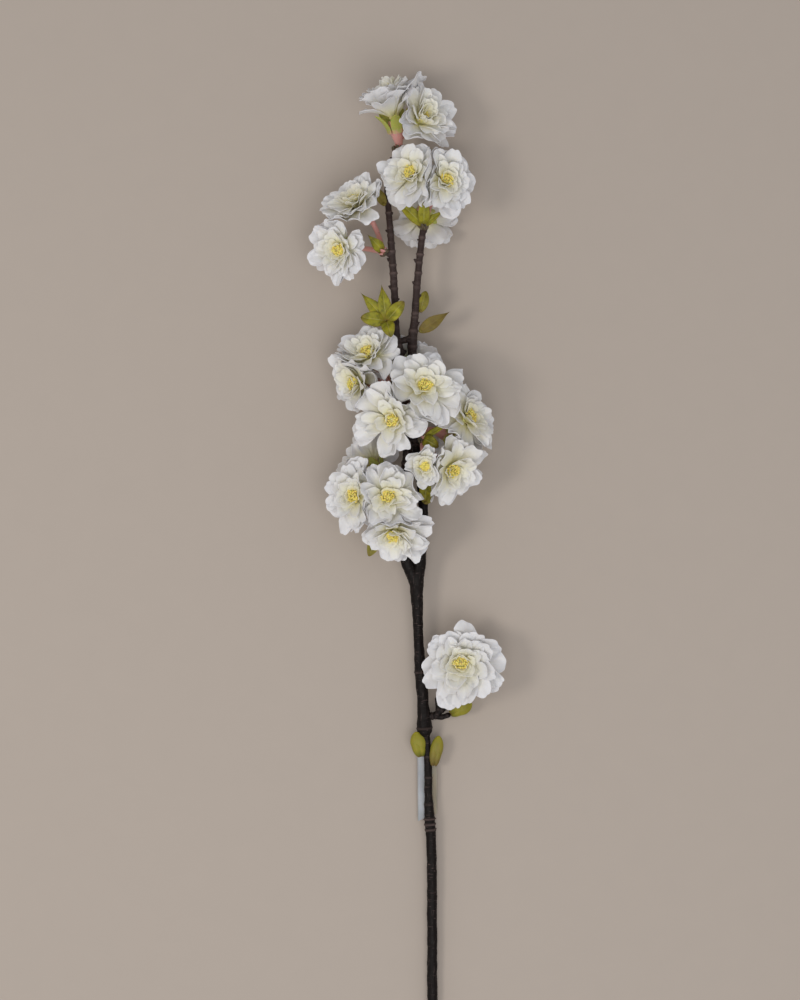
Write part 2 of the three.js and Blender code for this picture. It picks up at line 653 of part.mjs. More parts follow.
function makePetals(bloom, walls, cutters) {
  const eye = tube(
    [CORE_BACK, CORE_FRONT].map((high, i) => ({
      at: around(bloom, 0, 0, high),
      radius: CORE_RADIUS - i * CORE_TAPER,
    })),
    6,
  );
  const blades = petalsOf(bloom).map((petal) => {
    const at = (across, along) => ({
      at: bentBack(petalPoint(bloom, petal, across, along), walls),
      thick: PETAL_THICKNESS,
    });
    return blade([
      [at(0, 0)],
      [at(-1, 0.5), at(1, 0.5)],
      [at(-1, 1), at(-0.36, 1), at(0.36, 1), at(1, 1)],
    ]);
  });
  let whole = joined([eye, ...blades]);
  for (const { normal, offset } of walls) whole = whole.trimByPlane(normal.toArray(), offset);
  return clearOf(whole, [stamenSpace(bloom), ...cutters]);
}

// Stamens: a ring of threads that widen into anthers, on a shallow cone.
function makeStamens(bloom) {
  const [seed, foot] = [Math.abs(bloom.at[1]), CORE_FRONT + GAP];
  const step = (2 * Math.PI) / STAMEN_COUNT;
  const points = [around(bloom, 0, 0, foot), around(bloom, 0, 0, foot + 0.9)];
  const index = [];
  for (let i = 0; i < STAMEN_COUNT; i += 1) {
    const angle = i * step;
    const length = STAMEN_LENGTH * (bloom.across / 46) * (0.8 + 0.35 * draw(seed, i + 9));
    const lean = 0.2 + spread(seed, i + 20, 0.05);
    const [out, high] = [1 + Math.sin(lean) * length, foot + Math.cos(lean) * length];
    const [wide, head] = [ANTHER_RADIUS / out, high - 1.8];
    points.push(
      around(bloom, angle - step * 0.25, 1.2, foot),
      around(bloom, angle + step * 0.25, 1.2, foot),
      around(bloom, angle, out - ANTHER_RADIUS * 1.2, head),
      around(bloom, angle - wide, out + 0.3, head),
      around(bloom, angle + wide, out + 0.3, head),
      around(bloom, angle, out, high),
    );
    const [right, left, inner, headRight, headLeft, tip] = [2, 3, 4, 5, 6, 7].map((k) => i * 6 + k);
    const nextRight = ((i + 1) % STAMEN_COUNT) * 6 + 2;
    index.push(1, right, headRight, 1, headRight, inner, 1, inner, headLeft, 1, headLeft, left);
    index.push(right, left, headLeft, right, headLeft, headRight);
    index.push(inner, headRight, tip, headRight, headLeft, tip, headLeft, inner, tip);
    index.push(1, left, nextRight, 0, left, right, 0, nextRight, left);
  }
  const shape = new THREE.BufferGeometry();
  shape.setAttribute("position", new THREE.Float32BufferAttribute(points.flatMap((p) => p.toArray()), 3));
  shape.setIndex(index);
  return solid(shape);
}

// ---- Label ----

// A blank paper flag behind the trunk, folded lightly round it.
function makeLabel(cutters) {
  const { from, to, middle, width, thickness } = LABEL;
  const row = (y, x, z) =>
    [-0.5, -0.12, 0.3, 0.5].map((share) => ({
      at: new THREE.Vector3(x + share * width, y, z + Math.abs(share) * 3),
      thick: thickness,
    }));
  return clearOf(blade([row(from, middle[0], 1.6), row(to, middle[1], 2.2)]), cutters);
}

// ---- The sprig ----

const sprig = new THREE.Group();

function add(name, made, look) {
  const { vertProperties, triVerts, numProp, numVert } = largest(made.simplify(FINENESS)).getMesh();
  const positions = new Float32Array(numVert * 3);
  for (let i = 0; i < numVert; i += 1) {
    positions.set(vertProperties.subarray(i * numProp, i * numProp + 3), i * 3);
  }
  const geometry = new THREE.BufferGeometry();
  geometry.setAttribute("position", new THREE.BufferAttribute(positions, 3));
  geometry.setIndex(new THREE.BufferAttribute(triVerts, 1));
  const mesh = new THREE.Mesh(geometry, new THREE.MeshStandardMaterial({ ...LOOKS[look], metalness: 0 }));
  mesh.name = name;
  sprig.add(mesh);
}

const blooms = UMBELS.flatMap((umbel) => umbel.blooms);
const wood = woodCutters();
const fatUmbels = UMBELS.flatMap((umbel) => makeUmbel(umbel, GAP));
const fatLeaves = LEAF_GROUPS.flatMap((group) => makeLeafGroup(group, GAP));

add("branch", makeBranch(), "bark");
for (const umbel of UMBELS) {
  add("umbel_" + umbel.name, joined(makeUmbel(umbel, 0)), "calyx");
}
for (const group of LEAF_GROUPS) {
  add(group.name, clearOf(joined(makeLeafGroup(group, 0)), [...wood, ...fatUmbels]), "leaf");
}
for (const bloom of blooms) {
  const walls = wallsOf(bloom, blooms);
  const petals = makePetals(bloom, walls, [...wood, ...fatUmbels, ...fatLeaves]);
  add("bloom_" + bloom.name + "_petals", petals, "petal");
  add("bloom_" + bloom.name + "_stamens", makeStamens(bloom), "stamen");
}
add("label", makeLabel(wood), "paper");

export default sprig;
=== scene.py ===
"""The looks of a cut sprig of double white cherry blossom, laid down on a pale floor and seen from above.

The branch runs along Y with its cut end at -Y. Tables of places are in millimetres, and all that is made
from them is in metres.
"""

import math
from collections import namedtuple
from contextlib import contextmanager

import bmesh
import bpy
from mathutils import Matrix, Vector, kdtree, noise


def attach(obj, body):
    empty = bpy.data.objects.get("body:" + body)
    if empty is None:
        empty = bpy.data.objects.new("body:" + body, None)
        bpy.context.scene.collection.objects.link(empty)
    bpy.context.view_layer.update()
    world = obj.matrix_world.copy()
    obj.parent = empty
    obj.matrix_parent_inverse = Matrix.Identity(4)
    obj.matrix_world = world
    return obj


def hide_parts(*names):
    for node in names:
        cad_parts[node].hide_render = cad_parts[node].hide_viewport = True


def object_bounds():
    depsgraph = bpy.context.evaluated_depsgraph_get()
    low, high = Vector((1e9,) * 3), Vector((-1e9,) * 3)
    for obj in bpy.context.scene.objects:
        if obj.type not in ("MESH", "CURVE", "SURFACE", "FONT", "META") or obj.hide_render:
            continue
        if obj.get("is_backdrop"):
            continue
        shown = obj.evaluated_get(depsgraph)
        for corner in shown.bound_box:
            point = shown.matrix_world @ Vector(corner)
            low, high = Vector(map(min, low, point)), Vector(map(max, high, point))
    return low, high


bl_info = {
    "name": "Cherry blossom sprig",
    "version": (1, 0, 0),
    "blender": (4, 5, 0),
    "location": "3D View > Sidebar > Sprig",
    "description": "Models a sprig of double white cherry blossom: bark, stalks, blooms, leaves and label",
    "category": "Add Mesh",
}

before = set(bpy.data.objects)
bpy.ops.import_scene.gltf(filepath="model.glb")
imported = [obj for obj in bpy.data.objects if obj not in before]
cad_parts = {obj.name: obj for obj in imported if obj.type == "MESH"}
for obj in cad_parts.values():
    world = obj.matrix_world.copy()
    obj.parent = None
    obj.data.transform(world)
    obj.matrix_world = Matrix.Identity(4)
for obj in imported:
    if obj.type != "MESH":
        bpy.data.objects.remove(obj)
CAD_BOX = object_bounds()

MM = 0.001
TURN = 2 * math.pi
GOLDEN_ANGLE = 2.39996  # the turn from one stamen or bud scale to the next
SMOOTH_BELOW = math.radians(48)  # an edge whose faces turn by less than this looks smooth

# ---- The wood: [x, y, z, radius] along the middle of each stretch, from its foot to its tip ----

TRUNK_AND_RIGHT_TWIG = (
    (16, -300, 2.5, 3),
    (14.5, -260, 3.5, 3),
    (13.9, -237, 4, 2.95),
    (13.7, -178.6, 5.2, 2.95),
    (13.3, -149.6, 5.9, 2.95),
    (12.2, -134, 6.4, 3.1),
    (11.6, -120.6, 6.9, 2.4),
    (11.3, -103.2, 7.4, 2.3),
    (10.8, -90.5, 7.9, 2.2),
    (10, -85.9, 8.1, 2.5),
    (9.6, -83.6, 8.2, 4.1),
    (9.2, -79, 8.4, 4.4),
    (8.7, -71.3, 8.7, 3.7),
    (8.1, -62.6, 9.2, 3.4),
    (7.3, -49.3, 10, 3.8),
    (6, -33.6, 11, 3),
    (5.3, -16.2, 12.2, 3),
    (4.6, 5.8, 13.7, 4.1),
    (6.4, 15.1, 14.3, 3.5),
    (7.5, 30.2, 15.5, 3),
    (8.4, 47.6, 17, 2.9),
    (7.5, 62.1, 18.5, 2.8),
    (5.8, 76.6, 20, 2.8),
    (3.5, 94, 21, 2.7),
    (2, 111.4, 22, 2.6),
    (1.5, 128.8, 22.5, 2.6),
    (2.3, 149.1, 23, 2.7),
    (3.5, 160.7, 23, 2.09),
    (4.9, 181, 23, 2),
    (7, 201.3, 23.5, 1.91),
    (8.1, 210.4, 24, 1.91),
)
LEFT_TWIG = (
    (4.6, 1.2, 13.3, 3),
    (1.2, 11.6, 14.2, 3.6),
    (-1.5, 18.6, 15, 3.4),
    (-3.2, 33.1, 17, 3),
    (-3.5, 50.5, 20, 2.9),
    (-2.3, 66.1, 24, 2.8),
    (-0.9, 79.5, 28, 2.7),
    (-0.3, 89.3, 29.5, 2.7),
    (-1.2, 102.7, 28.5, 2.6),
    (-3.5, 120.1, 26, 2.6),
    (-6.7, 139.2, 24, 3.2),
    (-7.8, 147.3, 23.5, 3),
    (-7.8, 157.8, 23, 2),
    (-8.2, 169.4, 23, 2),
    (-9.1, 185.6, 23, 2.09),
    (-10, 197.2, 23, 2.09),
    (-11, 212.9, 23, 1.91),
    (-11.9, 223.9, 23, 1.83),
    (-12.6, 234.3, 23, 1.65),
    (-10.4, 247.7, 23.5, 1.48),
    (-6.9, 257.5, 24.3, 1.39),
)
SPURS = (
    ((-7, 145, 23.5, 1.9), (-2.5, 146.5, 23.3, 1.8), (2.2, 148.6, 23, 1.9)),
    ((-6, 144.5, 24, 1.3), (-4.1, 141.5, 24.4, 1.1), (-4.1, 135.7, 24.8, 0.6)),
    ((-10, 196.5, 23, 1.9), (-14.6, 198, 24.3, 1.6)),
    ((-3.5, 120.1, 26, 2.0), (-9, 121.5, 28, 1.7)),
    ((-1.2, 102.7, 28.5, 2.0), (1, 106.5, 34, 1.7)),
    ((-0.3, 86.5, 29, 2.0), (3.5, 88, 31.5, 1.8), (7, 89, 33, 1.6)),
    ((-3.5, 50.5, 20, 2.2), (-8.5, 51.5, 24.5, 1.8)),
    ((-7.8, 157.8, 23, 1.8), (-11.6, 157.4, 26.6, 1.5)),
    ((8.9, -73.5, 8.6, 2.6), (14.6, -73.6, 8.7, 2.1), (18.6, -70.8, 9, 1.8), (24.4, -66.3, 9.1, 1.7)),
    ((14.6, -73.6, 8.7, 1.9), (19, -74.4, 8.8, 1.6), (23.4, -73.2, 9, 1.5)),
    ((17.8, -71.2, 9, 1.8), (17.2, -67.4, 9.6, 1.5), (16.6, -63.6, 10.4, 1.3)),
)
# Where raised rings stand on the trunk, and how high each is beside the highest.
TRUNK_BANDS = (
    (-141, 1), (-137.8, 1), (-134.6, 1), (-125.9, 0.4), (-110.2, 0.35), (-98, 0.5), (-81, 0.5), (-47.6, 0.6),
)
RINGED_FROM = 64  # past here the twigs carry the rings that old bud scales leave
RING_SPACING = 11
RING_RISE = 1.4  # how far past RINGED_FROM the first ring stands
RING_WANDER = 2.2  # how far a ring strays from an even spacing
# The least and greatest height of a twig's rings and of the lower ones between them.
RING_HEIGHTS = (0.35, 1)
LOW_RING_HEIGHTS = (0.1, 0.75)
# How far below its crest a ring starts to rise, and how far above it the ring has dropped.
RING_SHAPE = (1.9, 1.0)
LOW_RING_SHAPE = (1.5, 0.8)
BAND_SHAPE = (0.9, 0.8)
SPUR_RING_SHAPE = (1.1, 0.9)
SPUR_RING_SPACING = 3.3
SPUR_RING_SWELL = 0.55  # how high a spur's rings stand, and how pale they are, beside those of a twig
SPUR_RING_PALENESS = 0.25
STUB_STEP = 0.5  # the least way from one dormant bud to the next, as a share of the rings' spacing
CLOSE_STUB_STEP = 0.22  # the same near the twig's tip
CLOSE_STUBS = 9  # how near the tip that is
BARK_REACH = 1.25  # how far the rings of bark may stand out, beside the wood's own radius
YOUNG_FROM = 60  # from here to YOUNG_TO along the branch, its dark bark turns into that of the twigs
YOUNG_TO = 170
TIP_DOME = ((0.3, 0.92), (0.6, 0.7), (0.8, 0.35))  # how far out and how wide, as shares of the radius

# ---- The umbels, their blooms, and the leaves of the same bud ----

# `via` bends a stalk, and `stretch` makes the petals on that side of the bloom longer by that share, and
# those on its other side shorter.
# `fullness` is the length of all its petals beside that of a full bloom, and `rise` is how many degrees
# nearer upright than in an open bloom they stand.
Bloom = namedtuple(
    "Bloom", "name at faces across via stretch fullness rise", defaults=(None, (0, 0, 0), 1, 0)
)
Leaf = namedtuple("Leaf", "tip width thickness bow blunt", defaults=(False,))
Umbel = namedtuple("Umbel", "name knob blooms leaves", defaults=((),))

UMBELS = (
    Umbel("top", (-6.6, 257.8, 24.4), (
        Bloom("top_left", (-8.8, 275.6, 27), (-0.2, 0.94, 0.28), 54, None, (0.1, 0, 0), 0.92, 27),
        Bloom("top_right", (4.8, 272.6, 29), (0.54, 0.4, 0.74), 45, None, (0.1, 0.14, 0), 0.95, 8),
    )),
    Umbel("right_tip", (8.6, 213, 25.4), (
        Bloom("tip_left", (2.2, 240.4, 36), (-0.3, 0.2, 0.93), 42, None, (0.1, -0.06, 0), 0.93),
        Bloom("tip_right", (20.6, 237.8, 34), (0.22, 0.05, 0.97), 42, None, (-0.24, -0.08, 0), 0.97),
        Bloom("tip_under", (8.6, 219.5, 10), (0, -0.55, -0.83), 40),
    ), (
        Leaf((-6, 226, 32), 7, 1.6, 0.12, True),
        Leaf((8.8, 229, 36), 7, 1.8, 0.2, True),
        Leaf((21.4, 222, 30.5), 4.4, 1.4, 0.25),
    )),
    Umbel("left", (-15, 198.1, 24.6), (
        Bloom("left_low", (-38, 198.6, 31), (-0.5, -0.15, 0.85), 38, None, (-0.1, -0.06, 0)),
        Bloom("left_high", (-28.4, 224, 28), (-0.45, 0.5, 0.74), 41, None, (0.04, -0.32, 0.02), 1.02, 8),
    ), (
        Leaf((-24.4, 207.5, 31.5), 6.4, 1.2, 0.12),
    )),
    Umbel("middle_left", (-9.2, 121.8, 27), (
        Bloom("middle_1", (-21.4, 136, 27), (-0.45, 0.55, 0.7), 42, None, (-0.24, -0.04, 0)),
        Bloom("middle_2", (-27.6, 121.6, 25), (-0.8, -0.05, 0.6), 43, None, (0.1, 0.3, 0)),
        Bloom("middle_under", (-2, 131, 12), (0.05, 0.66, -0.75), 42, (-7.5, 117, 20.5), (0, -0.2, 0)),
    )),
    Umbel("middle_front", (1.3, 107.2, 35), (
        Bloom("middle_3", (8.4, 117, 44), (0.1, 0.3, 0.95), 47, None, (0.04, -0.22, 0)),
        Bloom("middle_4", (-8.6, 99.6, 44), (-0.2, -0.08, 0.98), 43, None, (-0.25, 0.2, 0)),
    )),
    Umbel("middle_right", (7.8, 89.2, 33.3), (
        Bloom("middle_5", (32, 100.6, 29), (0.62, 0.2, 0.76), 42, None, (-0.3, -0.2, 0)),
        Bloom("middle_6", (23, 72.2, 34), (0.36, -0.3, 0.88), 43, None, (-0.16, 0.12, 0)),
        Bloom("middle_7", (25.2, 91.5, 18), (0.85, -0.2, -0.49), 42),
        Bloom("middle_small", (9, 72.4, 42), (0.05, 0.05, 1), 25),
    ), (
        Leaf((17, 84, 37), 7.6, 1.8, 0.2, True),
        Leaf((25.5, 99.5, 35.5), 3.6, 1.2, 0.12),
    )),
    Umbel("low", (-9.6, 51.8, 25.6), (
        Bloom("low_1", (-30.4, 55.7, 30), (-0.3, 0, 0.95), 42, None, (0.18, -0.04, 0)),
        Bloom("low_2", (-12.2, 55.6, 39), (0.04, -0.02, 1), 43, None, (0.1, -0.06, 0)),
        Bloom("low_3", (-8.8, 36.8, 30), (-0.1, -0.66, 0.74), 43, None, (0.22, 0, 0)),
        Bloom("low_4", (-20.5, 74, 17), (-0.62, 0.6, -0.5), 40),
    ), (
        Leaf((-23.4, 20.6, 24), 10, 1.2, 0, True),
    )),
    Umbel("single", (25.5, -65.2, 9.2), (
        Bloom("single", (31, -41.6, 19.5), (-0.08, 0.02, 1), 50, None, (0.03, -0.12, 0)),
    )),
)
BLOOMS = tuple(bloom for umbel in UMBELS for bloom in umbel.blooms)

# Leaves and buds that spring straight from the bark. Those in one group share a foot.
# `brown` is how far their green has turned brown.
LeafGroup = namedtuple("LeafGroup", "name foot leaves brown", defaults=(0,))
LEAF_GROUPS = (
    LeafGroup("leaf_upper_left", (-14.1, 224.8, 24.6), (
        Leaf((-19.2, 235.6, 33.5), 5.6, 1.6, -0.1),
    ), 0.6),
    LeafGroup("leaf_tuft", (-13, 157.3, 28), (
        Leaf((-28.4, 174, 29), 7.6, 2.2, 0.12),
        Leaf((-16, 178.8, 30), 8, 2.2, 0.12),
        Leaf((-28, 159.2, 30.5), 8.6, 2.6, 0.14, True),
        Leaf((-2.8, 168.4, 32.5), 8.2, 2.6, 0.14, True),
        Leaf((-10.4, 147.6, 37), 7.8, 2.6, 0.1, True),
    )),
    LeafGroup("leaf_right_small", (6.6, 162.8, 21.5), (
        Leaf((9.9, 175.4, 21), 6.6, 1.8, 0.1, True),
    ), 0.3),
    LeafGroup("leaf_right_large", (5.9, 151.4, 22.5), (
        Leaf((24.2, 163.4, 23), 7.6, 1.6, 0.08),
    ), 0.75),
    LeafGroup("leaf_low_right", (9.6, 51, 22.5), (
        Leaf((10.2, 66.5, 29), 7.6, 1.8, -0.1, True),
        Leaf((14.6, 58.6, 22), 4, 1.2, 0),
    )),
)
BUD_GROUPS = (
    LeafGroup("bud_beside_bloom", (24.2, -72.6, 9), (Leaf((37, -65.6, 10), 9.2, 7, 0, True),)),
    LeafGroup("bud_left", (7.2, -98, 8.4), (Leaf((4.2, -83, 9.4), 9.2, 6, 0, True),)),
    LeafGroup("bud_right", (14.6, -103.4, 8.4), (Leaf((17.8, -85.4, 9.4), 7.6, 5, 0, True),), 0.6),
)

# ---- The blooms' petals, from the outermost ring to the innermost ----

# count, then root and seat in millimetres, reach and width as shares of the bloom's radius, and the angles
# in degrees, up from the bloom's own plane, at which a petal leaves the eye and at which it ends.
# turn_on shifts a ring round the bloom, as a share of the step between its petals.
Ring = namedtuple("Ring", "count turn_on root seat reach width leaves ends")
PETAL_RINGS = (
    Ring(6, 0, 1.9, 0.1, 0.95, 0.60, 22, -7),
    Ring(8, 0.5, 1.9, 0.4, 0.90, 0.52, 28, 2),
    Ring(9, 0.2, 2.1, 0.6, 0.83, 0.47, 36, 11),
    Ring(9, 0.7, 2.1, 0.9, 0.74, 0.42, 45, 21),
    Ring(9, 0.1, 2.0, 1.3, 0.64, 0.38, 55, 31),
    Ring(8, 0.6, 1.9, 1.6, 0.53, 0.34, 64, 41),
    Ring(7, 0.3, 1.8, 1.8, 0.42, 0.29, 72, 51),
    Ring(5, 0.8, 1.7, 1.9, 0.33, 0.24, 79, 60),
)
STRAIGHTEST = 0.02  # the least bend in radians that a petal has
SHOULDER_DROP = 0.28  # how much shorter a petal is at its edge than down its middle
# The least share of the bloom's width that a petal's length has, then its mesh's cells across and along.
PETAL_CELLS = ((0.38, 12, 13), (0.24, 9, 10), (0, 7, 8))
GAP = 0.2  # clear air left between the petals of two blooms
# How far before the floor, or before the border with a neighbour, a petal starts to bend away, and how
# near it may come at the last.
FLOOR_SOFTNESS = 3
FLOOR_REST = 0.35
NEIGHBOUR_SOFTNESS = 4
NEIGHBOUR_REST = 0.2
# Blooms are neighbours where their middles are less than this share of both their widths apart.
NEIGHBOURS_WITHIN = 0.56
MIDDLE_HEIGHT = 0.16  # how high a bloom's middle lies above its foot, as a share of its width
BORDER_WAVE = 5.5  # how far the border between two blooms strays from a plane
BORDER_GRAIN = 9  # size of the waves in that border
WAVES_WITHIN = 3  # a petal feels them from this many times its softness away
LIFT_LIMIT = 5  # how far a petal is lifted at most where a neighbour presses on it
FARTHEST = 1.16  # how far a petal's point may lie from its bloom's foot, beside the bloom's radius
LONGEST_STRETCH = 0.12  # the most that `stretch` makes a petal longer
UPRIGHT_REACH = 0.95  # a bloom's inner petals come nearer this length, the more upright they stand,
UPRIGHT_RISE = 60  # and would reach it at this rise
# Where a neighbour stands in the way this squarely, every second inner petal is missing.
CROWDED = 0.72
SMALL_BELOW = 30  # a bloom less than this across lacks its outermost rings of petals,
SMALL_LACKS = 2  # so many of them,
SMALL_ROUNDER = 1.4  # and its petals are this much rounder
PRESSED_LONGER = 0.22  # how much longer the petals grow that press on a neighbour
WOOD_CLEARANCE = 0.5  # how far petals keep from the bark
CRINKLE_SIZE = 3.2  # size and depth of the soft dents in a petal
CRINKLE_DEPTH = 0.4
FRILL = 0.3  # how high the finer waves of a petal's rim are, beside its broad ones
CREASE = 0.1  # how deep the crease down its middle is, as a share of its half width

# ---- The blooms' eyes and stamens ----

# The eye, the calyx and the sepals have the sizes given here in a bloom this far across.
FITTED_TO = 42
CORE_FRONT = 2.0  # how high the eye's front lies above the foot of the petals
# How far out and how high the eye's outline lies, from its foot to its front.
EYE_OUTLINE = ((0.2, -0.7), (2.4, -0.5), (2.9, 0.3), (2.6, 1.2), (1.9, 1.8), (0.2, CORE_FRONT))
STAMENS_FITTED_TO = 46  # the same for the stamens' length
STAMEN_SEAT = CORE_FRONT - 0.3  # how high the threads start
STAMEN_SCATTER = 0.9  # how far from the bloom's axis a thread may start
CLUMPING = 0.35  # how far the stamens draw together into two loose clumps
INNER_LEAN = 0.03  # how far in radians the innermost stamen leans out,
LEAN_GAIN = 0.56  # and how much farther the outermost leans
THREAD_STATIONS = 5
THREAD_RADII = (0.27, 0.19)  # at a thread's foot and at its tip
THREAD_SHARE = 0.75  # how far up the stamen's colours its thread reaches
# The stamens' dense foot: how far up it, as a share of their length, and its radius there in millimetres.
THREAD_BUNDLE = ((0, 0.9), (0.25, 1.3), (0.5, 2.0), (0.62, 2.2), (0.7, 1.6), (0.74, 0.2))

# ---- The stalks, calyces, sepals, bud scales and leaves ----

STALK_STATIONS = 10
STALK_RADII = (1.7, 1.45)  # at a stalk's ends and at its middle
STALK_BEND = 0.4  # a stalk bends this share of its length before the calyx
CUP_MOUTH = -1.7  # the calyx opens this far behind the foot of the petals
CALYX_LENGTH = 12.5
CALYX_WIDEST = 1.05  # how far a large bloom may widen the calyx
# The stalk's radius along the calyx, from its neck (0) to its mouth (1).
CALYX_PROFILE = ((0, 1.6), (0.12, 1.95), (0.3, 2.75), (0.5, 3.5), (0.7, 3.95), (0.88, 4.1), (1, 3.8))
# How far each part has ripened, from its foot to its tip.
STALK_RIPE = (0.24, 0.36)
CALYX_RIPE = (0.38, 0.58)
SEPAL_RIPE = (0.6, 1.0)
SEPALS = 5
SEPAL_ROOT = 3.9  # how far from the calyx's axis a sepal starts and ends
SEPAL_REACH = 9.2
SEPAL_SEAT = 5.5  # how far behind the calyx's mouth a sepal starts,
SEPAL_RISE = 7.2  # and how far along the calyx it then comes
SEPAL_HALF_WIDTH = 2.9
SEPAL_THICKNESS = 0.45
KNOB_RADIUS = 2.0  # how far behind the middle of an umbel's knob its bud scales start
KNOB_SCALES = 13
KNOB_SCALE_LENGTHS = (3.4, 5.2)  # of the outermost and of the innermost
LEAF_TEETH = 9  # along each rim
LEAF_TOOTH = 0.04  # how far a tooth stands out, as a share of the leaf's half width
LEAF_GROOVE = 0.5  # how deep the rib lies, as a share of the leaf's half thickness
LEAF_CURL = 0.22  # how far a leaf's edges rise, as a share of its half width
# The scales of a closed bud. How far to the right of its middle a scale's foot and tip lie, and how far its
# tip stays short of the bud's, in millimetres. Then its width and thickness beside those of the bud, its
# turn round its own length in radians, and the share of its length at which it is fullest.
BudScale = namedtuple("BudScale", "foot_aside tip_aside short width thickness turned fullest")
BUD_SCALES = (
    BudScale(0, 0, 0, 1, 1, 0, 0.58),
    BudScale(-1.1, -1.5, 2.2, 0.66, 1.06, 0.3, 0.5),
    BudScale(1.2, 1.5, 5, 0.5, 0.95, -0.4, 0.5),
)

# ---- The label and the stage ----

LABEL_FROM = -136.5
LABEL_TO = -98
LABEL_MIDDLE = (11.1, 10.8)  # where its fold lies across, at its lower and at its upper end
LABEL_WIDTH = 11.5
LABEL_SLANT = 4.5  # how much shorter the label is along its right side
LABEL_HEIGHTS = (1.7, 2.4)  # how high its fold lies at its lower and at its upper end
LABEL_OPENING = 3  # how fast its two leaves rise away from the fold
LABEL_THICKNESS = 0.25

FLOOR_REACH = 3  # how many metres of floor there are on each side of the middle
# Where the two soft lights stand and how wide they are, in metres.
Lamp = namedtuple("Lamp", "name place size tint")
LAMPS = (
    Lamp("key", (-0.95, -0.1, 1.35), 0.4, (1.0, 0.96, 0.9)),
    Lamp("fill", (0.2, -0.6, 1.9), 1.4, (0.99, 0.98, 0.965)),
)
ROOM_TINT = (0.78, 0.80, 0.84)
ROOM_LIGHT = 0.54
# What lies in the middle of the picture, and how tall a strip of the floor it shows.
VIEW_MIDDLE = (-5.2, 53.4, 30)
VIEW_HEIGHT = 580


# ---- Small tools ----


def metres(point):
    return Vector(point[:3]) * MM


def draw(seed, count):
    """A repeatable draw from 0 to 1."""
    wave = math.sin(seed * 12.9898 + count * 78.233) * 43758.5453
    return wave - math.floor(wave)


def spread(seed, count, reach):
    return (draw(seed, count) * 2 - 1) * reach


def mix(low, high, share):
    return low + (high - low) * share


def colour(name, default, description):
    return bpy.props.FloatVectorProperty(
        name=name, description=description, default=default, size=3, min=0, max=1, subtype="COLOR"
    )


def length(name, millimetres, description):
    return bpy.props.FloatProperty(
        name=name, description=description, default=millimetres * MM, min=0, unit="LENGTH", precision=5
    )


def factor(name, default, description):
    return bpy.props.FloatProperty(
        name=name, description=description, default=default, min=0, max=1, subtype="FACTOR"
    )


# ---- Settings ----


class SprigWood(bpy.types.PropertyGroup):
    ring_swell: factor("Ring swell", 0.3, "How far a ring stands out, as a share of the twig's radius")
    station_step: length("Step", 0.8, "Distance between two rings of the bark's mesh")
    bark: colour("Bark", (0.007, 0.0044, 0.0036), "Dark bark of the trunk")
    twig: colour("Twig", (0.046, 0.030, 0.027), "Paler bark of the twigs")
    worn: colour("Worn bark", (0.16, 0.112, 0.102), "Bark on ridges and in dry cracks")
    cut: colour("Cut wood", (0.56, 0.43, 0.28), "Bare wood at the cut end")


class SprigBlooms(bpy.types.PropertyGroup):
    thickness: length("Petal thickness", 0.26, "Thickness of a petal")
    ruffle: factor("Ruffle", 0.055, "How far a petal's rim waves, as a share of the bloom's radius")
    cup: factor("Cup", 0.16, "How far a petal's edges rise, as a share of its half width")
    petal: colour("Petal", (0.86, 0.845, 0.845), "Petal in its outer half")
    rim: colour("Rim", (0.84, 0.83, 0.865), "Thin rim of a petal")
    pale: colour("Pale cream", (0.89, 0.855, 0.69), "Petal in its inner half")
    cream: colour("Cream", (0.90, 0.84, 0.44), "Petal near the throat")
    throat: colour("Throat", (0.80, 0.74, 0.22), "Petal at its root")
    stamen_count: bpy.props.IntProperty(
        name="Stamens", description="Stamens in each bloom", default=64, min=3, max=80
    )
    stamen_length: length("Stamen length", 7, f"Length of a stamen in a bloom {STAMENS_FITTED_TO} mm across")
    anther_radius: length("Anther radius", 0.6, "Half the thickness of an anther")
    thread: colour("Thread", (0.90, 0.84, 0.44), "Stamen threads")
    anther: colour("Anther", (0.90, 0.74, 0.17), "Anthers")


class SprigGreens(bpy.types.PropertyGroup):
    scale_brown: colour("Scale brown", (0.10, 0.075, 0.045), "Bud scales at an umbel's foot")
    cup_pink: colour("Cup pink", (0.70, 0.34, 0.31), "Stalks and calyx cups")
    sepal_green: colour("Sepal green", (0.40, 0.42, 0.085), "Sepals")
    leaf_dark: colour("Leaf, dark", (0.17, 0.162, 0.014), "Leaves along their rib")
    leaf_light: colour("Leaf, light", (0.40, 0.365, 0.022), "Leaves between their veins")
    leaf_brown: colour("Leaf, brown", (0.17, 0.105, 0.035), "Brown tinge on tips and rims")
    bud_light: colour("Bud", (0.30, 0.265, 0.024), "Plump closed buds")


class SprigStage(bpy.types.PropertyGroup):
    paper: colour("Paper", (0.52, 0.54, 0.57), "The blank label")
    paper_back: colour("Paper, back", (0.44, 0.37, 0.26), "The label's folded back leaf")
    floor: colour("Floor", (0.490, 0.419, 0.360), "The plain floor")
    lens: bpy.props.FloatProperty(
        name="Lens", description="Focal length of the camera", default=85, min=20, unit="CAMERA"
    )
    key: bpy.props.FloatProperty(
        name="Key light", description="Power of the key light", default=5.2, min=0, unit="POWER"
    )
    fill: bpy.props.FloatProperty(
        name="Fill light", description="Power of the fill light", default=13.0, min=0, unit="POWER"
    )


# ---- Finishes ----

